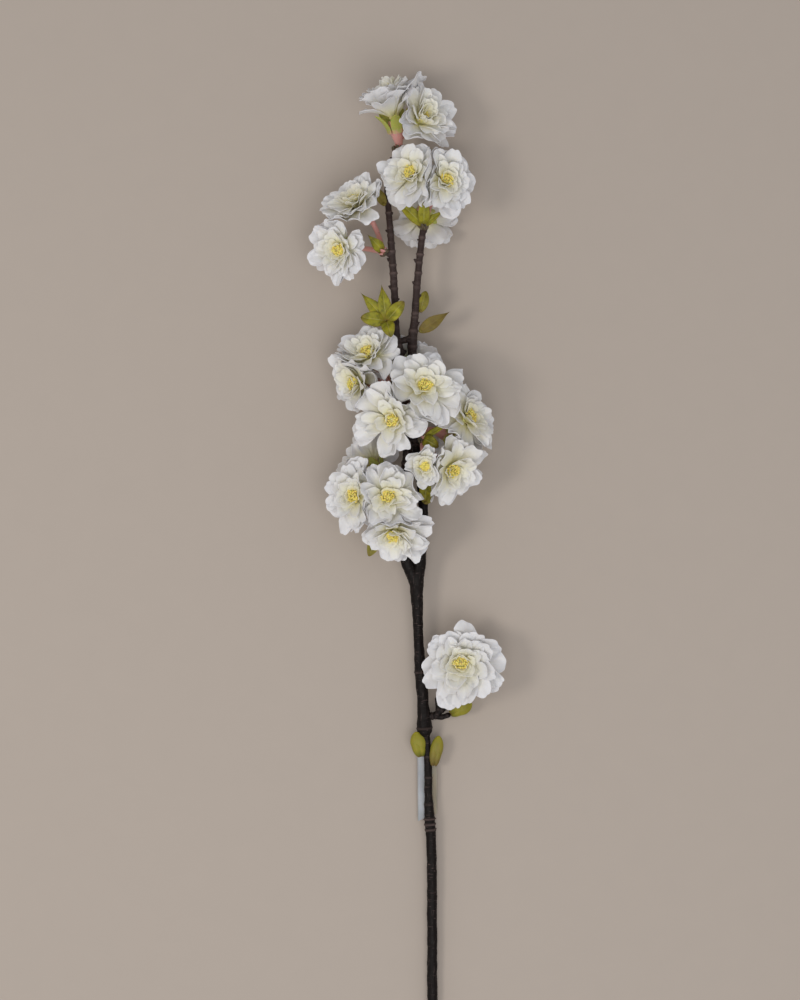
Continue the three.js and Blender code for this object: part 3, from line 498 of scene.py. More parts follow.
PETAL_VEIN = (0.66, 0.64, 0.70)
PETAL_SHADE = (0.72, 0.70, 0.80)
EYE_DARK = (0.84, 0.77, 0.26)
EYE_LIGHT = (0.92, 0.86, 0.42)
THREAD_FOOT = (0.84, 0.84, 0.46)
ANTHER_MEAL = (0.93, 0.82, 0.30)
STALK_SPECK = (0.62, 0.50, 0.30)
LEAF_RIB = (0.46, 0.43, 0.14)
PAPER_CLOUD = (0.30, 0.30, 0.30)
PAPER_RIM = (0.30, 0.28, 0.25)
FLOOR_GRAIN = (0.36, 0.32, 0.28)


class Finish:
    """A material whose nodes are added one call each. An input is a value or the output that feeds it."""

    def __init__(self, name, **surface):
        self.material = bpy.data.materials.new(name)
        self.material.use_nodes = True
        self.tree = self.material.node_tree
        self.shader = self.tree.nodes["Principled BSDF"]
        for socket, value in surface.items():
            self.set(self.shader, socket.replace("_", " "), value)

    def set(self, node, socket, value):
        if isinstance(value, bpy.types.NodeSocket):
            self.tree.links.new(value, node.inputs[socket])
        else:
            node.inputs[socket].default_value = value

    def node(self, kind, inputs, **settings):
        made = self.tree.nodes.new("ShaderNode" + kind)
        for name, value in settings.items():
            setattr(made, name, value)
        for socket, value in inputs.items():
            self.set(made, socket, value)
        return made

    def attribute(self, name):
        return self.node("Attribute", {}, attribute_name=name).outputs["Fac"]

    def object_place(self):
        return self.node("TexCoord", {}).outputs["Object"]

    def noise(self, vector, scale, detail=3.0, roughness=0.55):
        made = self.node(
            "TexNoise", {"Vector": vector, "Scale": scale, "Detail": detail, "Roughness": roughness}
        )
        return made.outputs["Fac"]

    def stretched(self, vector, stretch):
        return self.node("Mapping", {"Vector": vector, "Scale": stretch}).outputs["Vector"]

    def math(self, operation, *values):
        made = self.node("Math", dict(enumerate(values)), operation=operation)
        return made.outputs[0]

    def ramp(self, share, *stops):
        """Colours at places from 0 to 1, each (place, colour)."""
        made = self.node("ValToRGB", {"Fac": share})
        elements = made.color_ramp.elements
        while len(elements) < len(stops):
            elements.new(1.0)
        for element, (place, tint) in zip(elements, stops):
            element.position = place
            element.color = (*tint, 1.0)
        return made.outputs["Color"]

    def blend(self, share, first, second, kind="MIX"):
        made = self.node("Mix", {0: share}, data_type="RGBA", blend_type=kind)
        for socket, value in ((6, first), (7, second)):
            self.set(made, socket, value if isinstance(value, bpy.types.NodeSocket) else (*value, 1.0))
        return made.outputs[2]

    def range(self, value, low, high, to_low=0.0, to_high=1.0):
        made = self.node(
            "MapRange",
            {"Value": value, "From Min": low, "From Max": high, "To Min": to_low, "To Max": to_high},
        )
        return made.outputs["Result"]

    def bump(self, height, strength, depth):
        made = self.node("Bump", {"Height": height, "Strength": strength, "Distance": depth})
        self.set(self.shader, "Normal", made.outputs["Normal"])

    def paint(self, tint):
        self.set(self.shader, "Base Color", tint)


def made_once(build):
    """The finish that `build` makes, made the first time only."""

    def finish(*settings):
        known = bpy.data.materials.get(build.__name__)
        return known or build(*settings).material

    return finish


@made_once
def petal_white(blooms):
    """White, cream and then yellow-green towards the root, with fine veins that fan out to the rim."""
    finish = Finish(
        "petal_white",
        Roughness=0.62,
        Subsurface_Weight=0.28,
        Subsurface_Radius=(1.0, 0.9, 0.8),
        Subsurface_Scale=0.8 * MM,
        Sheen_Weight=0.12,
        Sheen_Roughness=0.5,
    )
    along = finish.attribute("along")
    across = finish.attribute("across")
    tone = finish.attribute("tone")
    place = finish.object_place()
    base = finish.ramp(
        finish.math("MULTIPLY", finish.attribute("reach"), along),
        (0.0, blooms.throat),
        (0.13, blooms.cream),
        (0.36, blooms.pale),
        (0.66, blooms.petal),
        (1.0, blooms.rim),
    )
    lines = finish.node("CombineXYZ", {"X": across, "Y": finish.math("MULTIPLY", along, 0.12), "Z": tone})
    veins = finish.noise(lines.outputs[0], 9.0, detail=2.0)
    mottle = finish.noise(place, 420.0)
    veined = finish.blend(finish.range(veins, 0.42, 0.62, 0.0, 0.09), base, PETAL_VEIN)
    shaded = finish.blend(finish.range(mottle, 0.4, 0.7, 0.0, 0.08), veined, PETAL_SHADE)
    warm = finish.blend(finish.range(tone, 0.0, 1.0, 0.0, 0.25), shaded, blooms.pale, "MULTIPLY")
    finish.paint(warm)
    fine = finish.noise(place, 1500.0, detail=2.0)
    height = finish.math("ADD", finish.math("MULTIPLY", veins, 0.8), finish.math("MULTIPLY", fine, 0.2))
    finish.bump(height, 0.25, 0.3 * MM)
    return finish


@made_once
def bloom_eye():
    """The yellow-green eye that petals and stamens grow from."""
    finish = Finish("bloom_eye", Roughness=0.6, Subsurface_Weight=0.2, Subsurface_Scale=0.8 * MM)
    grain = finish.noise(finish.object_place(), 900.0)
    finish.paint(finish.ramp(grain, (0.3, EYE_DARK), (0.7, EYE_LIGHT)))
    finish.bump(grain, 0.3, 0.2 * MM)
    return finish


@made_once
def stamen_yellow(blooms):
    """Pale threads that end in golden, mealy anthers."""
    finish = Finish("stamen_yellow", Roughness=0.65, Subsurface_Weight=0.15, Subsurface_Scale=0.6 * MM)
    along = finish.attribute("along")
    meal = finish.noise(finish.object_place(), 2600.0, detail=2.0)
    base = finish.ramp(
        along,
        (0.0, THREAD_FOOT),
        (0.3, blooms.thread),
        (0.8, blooms.thread),
        (0.84, blooms.anther),
    )
    finish.paint(finish.blend(finish.range(meal, 0.45, 0.7, 0.0, 0.45), base, ANTHER_MEAL))
    finish.bump(meal, 0.5, 0.15 * MM)
    return finish


@made_once
def stalk_pink(greens):
    """Brown bud scales, pink stalks and cups, then green sepals, as far as the piece has ripened."""
    finish = Finish(
        "stalk_pink",
        Roughness=0.48,
        Subsurface_Weight=0.2,
        Subsurface_Scale=0.8 * MM,
        Specular_IOR_Level=0.35,
    )
    place = finish.object_place()
    ripe = finish.attribute("ripe")
    patch = finish.noise(place, 330.0)
    shifted = finish.math("ADD", ripe, finish.range(patch, 0.3, 0.7, -0.07, 0.07))
    base = finish.ramp(
        shifted,
        (0.0, greens.scale_brown),
        (0.14, greens.scale_brown),
        (0.24, greens.cup_pink),
        (0.55, greens.cup_pink),
        (0.72, greens.sepal_green),
        (1.0, [part * 1.15 for part in greens.sepal_green]),
    )
    speck = finish.noise(place, 1500.0, detail=2.0)
    finish.paint(finish.blend(finish.range(speck, 0.5, 0.75, 0.0, 0.25), base, STALK_SPECK))
    finish.bump(speck, 0.35, 0.2 * MM)
    return finish


@made_once
def leaf_olive(greens):
    """Olive with a pale rib, side veins and a brown tinge at tip and rim."""
    finish = Finish(
        "leaf_olive",
        Roughness=0.55,
        Subsurface_Weight=0.1,
        Subsurface_Scale=0.8 * MM,
        Specular_IOR_Level=0.28,
    )
    place = finish.object_place()
    along = finish.attribute("along")
    across = finish.math("ABSOLUTE", finish.attribute("across"))
    patch = finish.noise(place, 260.0)
    slant = finish.math("SUBTRACT", along, finish.math("MULTIPLY", across, 0.22))
    ridge = finish.math("SINE", finish.math("MULTIPLY", slant, 52.0))
    vein = finish.range(ridge, 0.72, 1.0)
    base = finish.blend(finish.range(patch, 0.35, 0.68), greens.leaf_dark, greens.leaf_light)
    veined = finish.blend(finish.math("MULTIPLY", vein, 0.35), base, greens.leaf_light)
    ribbed = finish.blend(finish.range(across, 0.09, 0.02, 0.0, 0.6), veined, LEAF_RIB)
    ends = finish.math("MAXIMUM", finish.range(along, 0.72, 1.05), finish.range(along, 0.3, 0.02, 0.0, 0.8))
    edge = finish.math("MAXIMUM", ends, finish.range(across, 0.8, 1.02, 0.0, 0.7))
    worn = finish.math("MULTIPLY", edge, finish.range(patch, 0.35, 0.6, 0.35, 1.0))
    worn = finish.math("MAXIMUM", worn, finish.attribute("brown"))
    finish.paint(finish.blend(worn, ribbed, greens.leaf_brown))
    fine = finish.noise(place, 1300.0, detail=2.0)
    height = finish.math("ADD", finish.math("MULTIPLY", vein, 0.7), finish.math("MULTIPLY", fine, 0.5))
    finish.bump(height, 0.4, 0.25 * MM)
    return finish


@made_once
def bud_green(greens):
    """Plump yellow-green scales, brown at the foot."""
    finish = Finish(
        "bud_green", Roughness=0.5, Subsurface_Weight=0.12, Subsurface_Scale=1.2 * MM, Specular_IOR_Level=0.3
    )
    place = finish.object_place()
    along = finish.attribute("along")
    patch = finish.noise(finish.stretched(place, (1.0, 0.35, 1.0)), 420.0)
    base = finish.ramp(
        along,
        (0.0, greens.leaf_brown),
        (0.13, greens.leaf_dark),
        (0.36, greens.bud_light),
        (0.9, greens.bud_light),
        (1.0, greens.leaf_light),
    )
    streaked = finish.blend(finish.range(patch, 0.45, 0.75, 0.0, 0.5), base, greens.leaf_dark)
    lower = finish.math("MULTIPLY", finish.attribute("brown"), finish.range(along, 0.85, 0.3))
    finish.paint(finish.blend(lower, streaked, greens.leaf_brown))
    finish.bump(patch, 0.35, 0.35 * MM)
    return finish


@made_once
def bark_dark(wood):
    """Near-black bark with a slight sheen, browner on the twigs and paler on ridges and in lenticels."""
    finish = Finish("bark_dark", Specular_IOR_Level=0.14)
    place = finish.object_place()
    ridge = finish.attribute("ridge")
    grain = finish.noise(finish.stretched(place, (1.0, 0.16, 1.0)), 900.0, detail=4.0)
    rough = finish.noise(place, 480.0, detail=4.0)
    dashes = finish.noise(finish.stretched(place, (0.5, 2.6, 0.5)), 620.0, detail=1.0)
    lenticel = finish.range(dashes, 0.66, 0.74)
    dry = finish.range(grain, 0.6, 0.85, 0.0, 0.5)
    pale = finish.math("ADD", finish.math("MULTIPLY", lenticel, 0.55), dry)
    worn = finish.math("ADD", pale, finish.math("MULTIPLY", ridge, 0.8))
    height_up = finish.node("SeparateXYZ", {"Vector": place}).outputs["Y"]
    young = finish.range(height_up, YOUNG_FROM * MM, YOUNG_TO * MM)
    base = finish.blend(young, wood.bark, wood.twig)
    finish.paint(finish.blend(finish.range(worn, 0.0, 1.0), base, wood.worn))
    finish.set(finish.shader, "Roughness", finish.range(rough, 0.3, 0.7, 0.36, 0.62))
    height = finish.math("ADD", grain, finish.math("MULTIPLY", lenticel, 0.6))
    height = finish.math("ADD", height, rough)
    finish.bump(height, 0.6, 0.4 * MM)
    return finish


@made_once
def wood_cut(wood):
    """Bare pale wood at the cut, with faint year rings."""
    finish = Finish("wood_cut", Roughness=0.75)
    centre = metres(TRUNK_AND_RIGHT_TWIG[0])
    place = finish.node("Mapping", {"Vector": finish.object_place(), "Location": -centre}).outputs["Vector"]
    rings = finish.node(
        "TexWave",
        {"Vector": place, "Scale": 260.0, "Distortion": 1.2, "Detail": 2.0},
        wave_type="RINGS",
        rings_direction="Y",
    )
    finish.paint(finish.blend(rings.outputs["Fac"], wood.cut, [part * 0.6 for part in wood.cut]))
    finish.bump(rings.outputs["Fac"], 0.3, 0.2 * MM)
    return finish


@made_once
def label_paper(stage):
    """Plain pale paper, lightly crumpled and scuffed at its rim."""
    finish = Finish("label_paper", Roughness=0.5, Subsurface_Weight=0.05, Subsurface_Scale=0.5 * MM)
    place = finish.object_place()
    cloud = finish.noise(place, 150.0)
    fibre = finish.noise(finish.stretched(place, (1.0, 0.3, 1.0)), 1500.0, detail=4.0)
    rim = finish.range(finish.math("ABSOLUTE", finish.attribute("across")), 0.86, 1.0, 0.0, 0.5)
    # the label's right leaf is painted browner than its left, bluish grey one
    right_leaf_share = finish.range(finish.attribute("across"), -0.2, 0.3)
    sheet_tint = finish.blend(right_leaf_share, stage.paper, stage.paper_back)
    base = finish.blend(finish.range(cloud, 0.35, 0.65, 0.0, 0.25), sheet_tint, PAPER_CLOUD)
    finish.paint(finish.blend(rim, base, PAPER_RIM))
    finish.bump(finish.math("ADD", fibre, cloud), 0.25, 0.25 * MM)
    return finish


@made_once
def floor_plain(stage):
    """A matt, faintly clouded floor."""
    finish = Finish("floor_plain", Roughness=0.85)
    grain = finish.noise(finish.object_place(), 60.0)
    finish.paint(finish.blend(finish.range(grain, 0.3, 0.7, 0.0, 0.05), stage.floor, FLOOR_GRAIN))
    return finish


# ---- Mesh tools ----


def new_mesh(*layers):
    """An empty bmesh whose vertices carry these named numbers."""
    bm = bmesh.new()
    for name in layers:
        bm.verts.layers.float.new(name)
    return bm


def layer(bm, name):
    return bm.verts.layers.float[name]


def mark_rings(bm, name, rings, values):
    """Gives each ring of a tube's vertices its own number."""
    number = layer(bm, name)
    for ring, value in zip(rings, values):
        for vert in ring:
            vert[number] = value


def keep_above_floor(bm):
    for vert in bm.verts:
        vert.co.z = max(vert.co.z, 0.0)


@contextmanager
def part_of(whole, finish=0, **values):
    """A small mesh to model one part in. Once done, it joins the whole with its faces turned outwards."""
    part = new_mesh(*whole.verts.layers.float.keys())
    yield part
    for name, value in values.items():
        number = layer(part, name)
        for vert in part.verts:
            vert[number] = value
    if finish:
        for face in part.faces:
            face.material_index = finish
    bmesh.ops.recalc_face_normals(part, faces=part.faces)
    mesh = bpy.data.meshes.new("part")
    part.to_mesh(mesh)
    part.free()
    whole.from_mesh(mesh)
    bpy.data.meshes.remove(mesh)


def publish(bm, name, node, slot, *finishes):
    """Turns a bmesh into the piece `name`, which stands for the CAD node `node`."""
    for edge in bm.edges:
        edge.smooth = edge.calc_face_angle(0) < SMOOTH_BELOW
    for face in bm.faces:
        face.smooth = True
    mesh = bpy.data.meshes.new(name)
    bm.to_mesh(mesh)
    bm.free()
    for finish in finishes:
        mesh.materials.append(finish)
    piece = bpy.data.objects.new(name, mesh)
    bpy.context.scene.collection.objects.link(piece)
    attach(piece, "root")
    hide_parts(node)
    return piece


def sheet(bm, columns, rows, place, thickness):
    """A thin leaf of material. place gives its points, across from -1 to 1 and along from 0 to 1."""
    across_layer = layer(bm, "across")
    along_layer = layer(bm, "along")
    verts = bmesh.ops.create_grid(bm, x_segments=columns, y_segments=rows, size=1)["verts"]
    for vert in verts:
        across, along = vert.co.x, (vert.co.y + 1) / 2
        vert[across_layer] = across
        vert[along_layer] = along
        vert.co = place(across, along)
    bmesh.ops.recalc_face_normals(bm, faces=bm.faces)
    copied = bmesh.ops.extrude_face_region(bm, geom=bm.faces[:], use_keep_orig=True)["geom"]
    for item in copied:
        if isinstance(item, bmesh.types.BMVert):
            item.co -= item.normal * thickness


def frames_along(path):
    """The two directions across each station of a path, carried on without a twist."""
    tangents = []
    for index in range(len(path)):
        before = path[max(0, index - 1)][0]
        after = path[min(len(path) - 1, index + 1)][0]
        tangents.append((after - before).normalized())
    seen = Vector((0, 0, 1))
    if abs(tangents[0].dot(seen)) > 0.9:
        seen = Vector((1, 0, 0))
    across = seen.cross(tangents[0]).normalized()
    frames = []
    for tangent in tangents:
        across = (across - tangent * across.dot(tangent)).normalized()
        frames.append((across, tangent.cross(across)))
    return frames


def sweep(bm, path, sides, shape=None):
    """A closed tube in an empty mesh: a circle extruded through the (centre, radius) stations of a path.

    shape(angle, station) gives the share of the radius at which the skin lies.
    """
    turn = layer(bm, "turn")
    ring = bmesh.ops.create_circle(bm, cap_ends=False, radius=1, segments=sides)["verts"]
    for vert in ring:
        vert[turn] = math.atan2(vert.co.y, vert.co.x)
    edges = bm.edges[:]
    ends = [edges]
    made = []
    for station, ((centre, radius), (across, up)) in enumerate(zip(path, frames_along(path))):
        if station:
            geometry = bmesh.ops.extrude_edge_only(bm, edges=edges)["geom"]
            ring = [item for item in geometry if isinstance(item, bmesh.types.BMVert)]
            edges = [
                item for item in geometry
                if isinstance(item, bmesh.types.BMEdge) and item.verts[0] in ring and item.verts[1] in ring
            ]
        for vert in ring:
            angle = vert[turn]
            reach = radius * (shape(angle, station) if shape else 1)
            vert.co = centre + across * (math.cos(angle) * reach) + up * (math.sin(angle) * reach)
        made.append(ring)
    ends.append(edges)
    for end in ends:
        bmesh.ops.contextual_create(bm, geom=end)
    return made


def lens(bm, columns, rows, place):
    """A closed leaf or scale. place(across, along, side) gives its points; side is 1 on top, -1 below."""
    across_layer = layer(bm, "across")
    along_layer = layer(bm, "along")
    for vert in bmesh.ops.create_uvsphere(bm, u_segments=columns, v_segments=rows, radius=1)["verts"]:
        girth = math.hypot(vert.co.x, vert.co.y)
        across = vert.co.x / girth if girth > 1e-5 else 0.0
        side = vert.co.y / girth if girth > 1e-5 else 0.0
        along = (1 - vert.co.z) / 2
        vert[across_layer] = across
        vert[along_layer] = along
        vert.co = place(across, along, side)


# ---- Wood ----


def smooth_path(points, step):
    """Stations (centre, radius), about a step apart, on a smooth curve through (x, y, z, radius) points."""
    knots = [Vector(point) * MM for point in points]
    knots = [knots[0] * 2 - knots[1], *knots, knots[-1] * 2 - knots[-2]]
    stations = []
    for before, start, end, after in zip(knots, knots[1:], knots[2:], knots[3:]):
        count = max(1, round((end - start).length / step))
        for index in range(count):
            t = index / count
            curve = (
                start * 2
                + (end - before) * t
                + (before * 2 - start * 5 + end * 4 - after) * t ** 2
                + (start * 3 - before - end * 3 + after) * t ** 3
            )
            stations.append(curve / 2)
    stations.append(knots[-2])
    return [(station.xyz, station.w) for station in stations]


def rounded_end(path):
    """The path with a short rounded end added to it."""
    (before, _), (end, radius) = path[-2:]
    heading = (end - before).normalized()
    return path + [(end + heading * (radius * out), radius * width) for out, width in TIP_DOME]


def collar(distance, rise, fall):
    """A raised ring: it swells from `rise` below its crest and drops within `fall` above it."""
    if distance < 0:
        return max(0.0, 1 + distance / rise) ** 1.5
    return max(0.0, 1 - distance / fall) ** 1.5


def ridge_at(y, seed):
    """How far the rings of bark stand out at y, from 0 to 1. Each twig draws its own rings by its seed."""
    height = 0.0
    for band, strength in TRUNK_BANDS:
        height = max(height, strength * collar(y - band, *BAND_SHAPE))
    if y > RINGED_FROM:
        steps = (y - RINGED_FROM - RING_RISE) / RING_SPACING
        nearest = round(steps)
        past = (steps - nearest) * RING_SPACING + spread(seed, nearest, RING_WANDER)
        height = max(height, mix(*RING_HEIGHTS, draw(seed, nearest + 30)) * collar(past, *RING_SHAPE))
        below = math.floor(steps)
        past = (steps - below - 0.5) * RING_SPACING + spread(seed, below + 60, RING_WANDER)
        low = mix(*LOW_RING_HEIGHTS, draw(seed, below + 90))
        height = max(height, low * collar(past, *LOW_RING_SHAPE))
    return height


def ridges_along(path, spur):
    """How far the bark's rings stand out at each station of a path."""
    if not spur:
        seed = path[-1][0].x / MM
        return [ridge_at(centre.y / MM, seed) for centre, _ in path]
    heights = []
    gone = 0.0
    for index, (centre, _) in enumerate(path):
        gone += (centre - path[max(0, index - 1)][0]).length / MM
        heights.append(collar(gone % SPUR_RING_SPACING - SPUR_RING_SPACING / 2, *SPUR_RING_SHAPE))
    return heights


def bark_shape(path, ridges, swell):
    """The share of a twig's radius at which its bark lies: its rings, broad and small lumps, and furrows."""

    def shape(angle, station):
        centre, radius = path[station]
        spot = Vector((math.cos(angle) * radius, centre.y, math.sin(angle) * radius)) / MM
        lumps = noise.noise(spot * 0.22) * 0.09 + noise.noise(spot * 0.9) * 0.06
        furrow = noise.noise(Vector((math.cos(angle) * 2.4, spot.y * 0.05, math.sin(angle) * 2.4)))
        lift = ridges[station] * swell * (1 + 0.7 * noise.noise(spot * 0.6))
        return 1 + lift + lumps + 0.05 * furrow

    return shape


def add_twig(whole, points, wood, sides, spur=False):
    """A twig with a rounded tip, whose foot lies inside the wood that it grows from."""
    path = rounded_end(smooth_path(points, wood.station_step))
    ridges = ridges_along(path, spur)
    with part_of(whole) as bm:
        swell = wood.ring_swell * (SPUR_RING_SWELL if spur else 1)
        rings = sweep(bm, path, sides, bark_shape(path, ridges, swell))
        mark_rings(bm, "ridge", rings, [height * (SPUR_RING_PALENESS if spur else 1) for height in ridges])
        if points is TRUNK_AND_RIGHT_TWIG:
            bare_the_cut(bm, rings[0])


def bare_the_cut(bm, ring):
    """The cut end: a thin rim of bark round bare wood."""
    cut = next(face for face in ring[0].link_faces if set(face.verts) == set(ring))
    bmesh.ops.inset_individual(bm, faces=[cut], thickness=0.45 * MM, depth=0.15 * MM)
    cut.material_index = 1
    for fan in bmesh.ops.poke(bm, faces=[cut])["faces"]:
        fan.material_index = 1


def add_stub(whole, centre, outward, size, seed):
    """A small dormant bud that sits on a ring of bark."""
    twist = outward.to_track_quat("Z", "Y")
    with part_of(whole) as bm:
        for vert in bmesh.ops.create_icosphere(bm, subdivisions=2, radius=1)["verts"]:
            taper = 1 - 0.45 * max(0.0, vert.co.z)
            local = Vector((vert.co.x * taper, vert.co.y * taper, vert.co.z * 1.5))
            local *= size * (1 + 0.25 * noise.noise(vert.co * 2 + Vector((seed, 0, 0))))
            vert.co = centre + twist @ local


def add_stubs(bm, points, seed):
    """Dormant buds on the rings of a twig, on one side and then the other, closer near its tip."""
    path = smooth_path(points, 1.0 * MM)
    tip = points[-1][1]
    y = RINGED_FROM + RING_RISE
    count = 0
    while y < tip - 0.5:
        centre, radius = min(path, key=lambda station: abs(station[0].y - y * MM))
        side = 1 if count % 2 else -1
        angle = spread(seed, count, 1.0)
        outward = Vector((side * math.cos(angle), 0.55, math.sin(angle))).normalized()
        size = radius * mix(0.42, 0.66, draw(seed, count + 40))
        add_stub(bm, centre + outward * radius, outward, size, count)
        step = CLOSE_STUB_STEP if tip - y < CLOSE_STUBS else STUB_STEP
        y += RING_SPACING * step * (1 + 0.8 * draw(seed, count + 80))
        count += 1


def make_branch(wood):
    """The forked wood with its bark, spurs, dormant buds and cut end."""
    bm = new_mesh("turn", "ridge")
    add_twig(bm, TRUNK_AND_RIGHT_TWIG, wood, sides=20)
    add_twig(bm, LEFT_TWIG, wood, sides=16)
    for points in SPURS:
        add_twig(bm, points, wood, sides=12, spur=True)
    add_stubs(bm, TRUNK_AND_RIGHT_TWIG, seed=3)
    add_stubs(bm, LEFT_TWIG, seed=8)
    keep_above_floor(bm)
    publish(bm, "bark", "branch", "bark", bark_dark(wood), wood_cut(wood))


# ---- Blooms ----


Frame = namedtuple("Frame", "at axis right up")


def frame_of(bloom):
    """A bloom's own frame: the foot of its petals, its axis, and two directions across it."""
    axis = Vector(bloom.faces).normalized()
    lead = Vector((1, 0, 0)) if abs(axis.y) > 0.9 else Vector((0, 1, 0))
    right = lead.cross(axis).normalized()
    return Frame(metres(bloom.at), axis, right, axis.cross(right))


def turned_by(angle, right, up):
    """A direction away from an axis, turned round it from right towards up."""
    return right * math.cos(angle) + up * math.sin(angle)


def around(base, angle, out, high):
    """A point at millimetres out from a bloom's axis and high along it."""
    outward = turned_by(angle, base.right, base.up)
    return base.at + outward * (out * MM) + base.axis * (high * MM)


def middle_of(bloom):
    return around(frame_of(bloom), 0, 0, bloom.across * MIDDLE_HEIGHT)


Wall = namedtuple("Wall", "normal offset rest soft side")


def walls_of(bloom):
    """What a bloom's petals are bent back from: its borders with the blooms close by, then the floor."""
    own = middle_of(bloom)
    walls = []
    for other in BLOOMS:
        middle = middle_of(other)
        near = (bloom.across + other.across) * NEIGHBOURS_WITHIN * MM
        if other is bloom or (own - middle).length > near:
            continue
        normal = (own - middle).normalized()
        at = middle.lerp(own, other.across / (bloom.across + other.across))
        offset = normal.dot(at) + GAP / 2 * MM
        side = 1 if BLOOMS.index(bloom) < BLOOMS.index(other) else -1
        walls.append(Wall(normal, offset, NEIGHBOUR_REST * MM, NEIGHBOUR_SOFTNESS * MM, side))
    walls.append(Wall(Vector((0, 0, 1)), 0.0, FLOOR_REST * MM, FLOOR_SOFTNESS * MM, 0))
    return walls


def bent_back(point, walls, lift):
    """Squeezes a point that strays past a wall into the last bit before it, and lifts it on the way."""
    for wall in walls:
        depth = wall.normal.dot(point) - wall.offset
        if wall.side and depth < wall.soft * WAVES_WITHIN:
            on_wall = (point - wall.normal * depth) / (BORDER_GRAIN * MM)
            depth -= wall.side * BORDER_WAVE * MM * noise.noise(on_wall)
        if depth < wall.soft:
            room = wall.soft - wall.rest
            kept = wall.rest + room * math.exp((depth - wall.soft) / room)
            pushed = kept - depth
            point = point + wall.normal * pushed
            if wall.side:
                along_wall = lift - wall.normal * lift.dot(wall.normal)
                point = point + along_wall * min(pushed, LIFT_LIMIT * MM)
    return point


def wood_tree():
    """Stations along all the wood, to find how near a point comes to it."""
    stations = []
    for points in (TRUNK_AND_RIGHT_TWIG, LEFT_TWIG, *SPURS):
        stations.extend(smooth_path(points, 1.0 * MM))
    tree = kdtree.KDTree(len(stations))
    for index, (centre, _) in enumerate(stations):
        tree.insert(centre, index)
    tree.balance()
    return tree, [radius for _, radius in stations]


WOOD, WOOD_RADII = wood_tree()


def clear_of_wood(point):
    """Moves a point that lies in the wood out of it."""
    centre, index, distance = WOOD.find(point)
    reach = WOOD_RADII[index] * BARK_REACH + WOOD_CLEARANCE * MM
    if distance >= reach:
        return point
    return centre + (point - centre) * (reach / max(distance, 0.1 * MM))


Petal = namedtuple(
    "Petal", "angle root seat length width leaves ends lean phase notch lift twist reach tone"
)


def petals_of(bloom, walls):
    """Every petal of a bloom, ring by ring from the outermost. Each draws its own shape by a key."""
    base = frame_of(bloom)
    radius = bloom.across / 2
    seed = abs(bloom.at[0]) + abs(bloom.at[1]) * 0.37
    small = bloom.across < SMALL_BELOW
    rings = PETAL_RINGS[SMALL_LACKS:] if small else PETAL_RINGS
    rounder = SMALL_ROUNDER if small else 1
    for number, ring in enumerate(rings):
        reach = mix(ring.reach, UPRIGHT_REACH, bloom.rise / UPRIGHT_RISE)
        for index in range(ring.count):
            key = number * 97 + index * 11
            angle = (index + ring.turn_on) * TURN / ring.count + spread(seed, key, 0.16) + seed
            outward = turned_by(angle, base.right, base.up)
            pressed = max((-wall.normal.dot(outward) for wall in walls if wall.side), default=0)
            if pressed > CROWDED and number and index % 2:
                continue
            stretch = min(LONGEST_STRETCH, outward.dot(Vector(bloom.stretch)))
            longer = (1 + PRESSED_LONGER * max(0, pressed) + stretch) * bloom.fullness
            yield Petal(
                angle=angle,
                root=ring.root,
                seat=ring.seat,
                length=radius * reach * longer * (1 + spread(seed, key + 1, 0.08)),
                width=radius * ring.width * rounder * (1 + spread(seed, key + 2, 0.15)),
                leaves=math.radians(ring.leaves + bloom.rise + spread(seed, key + 3, 7)),
                ends=math.radians(ring.ends + bloom.rise + spread(seed, key + 4, 22)),
                lean=spread(seed, key + 5, 0.2) + 0.06,
                phase=draw(seed, key + 6) * TURN,
                notch=0.05 * draw(seed, key + 7),
                lift=mix(-0.25, 0.75, draw(seed, key + 9)),
                twist=spread(seed, key + 10, 0.22),
                reach=ring.reach,
                tone=mix(draw(seed, 1), draw(seed, key + 8), 0.5),
            )


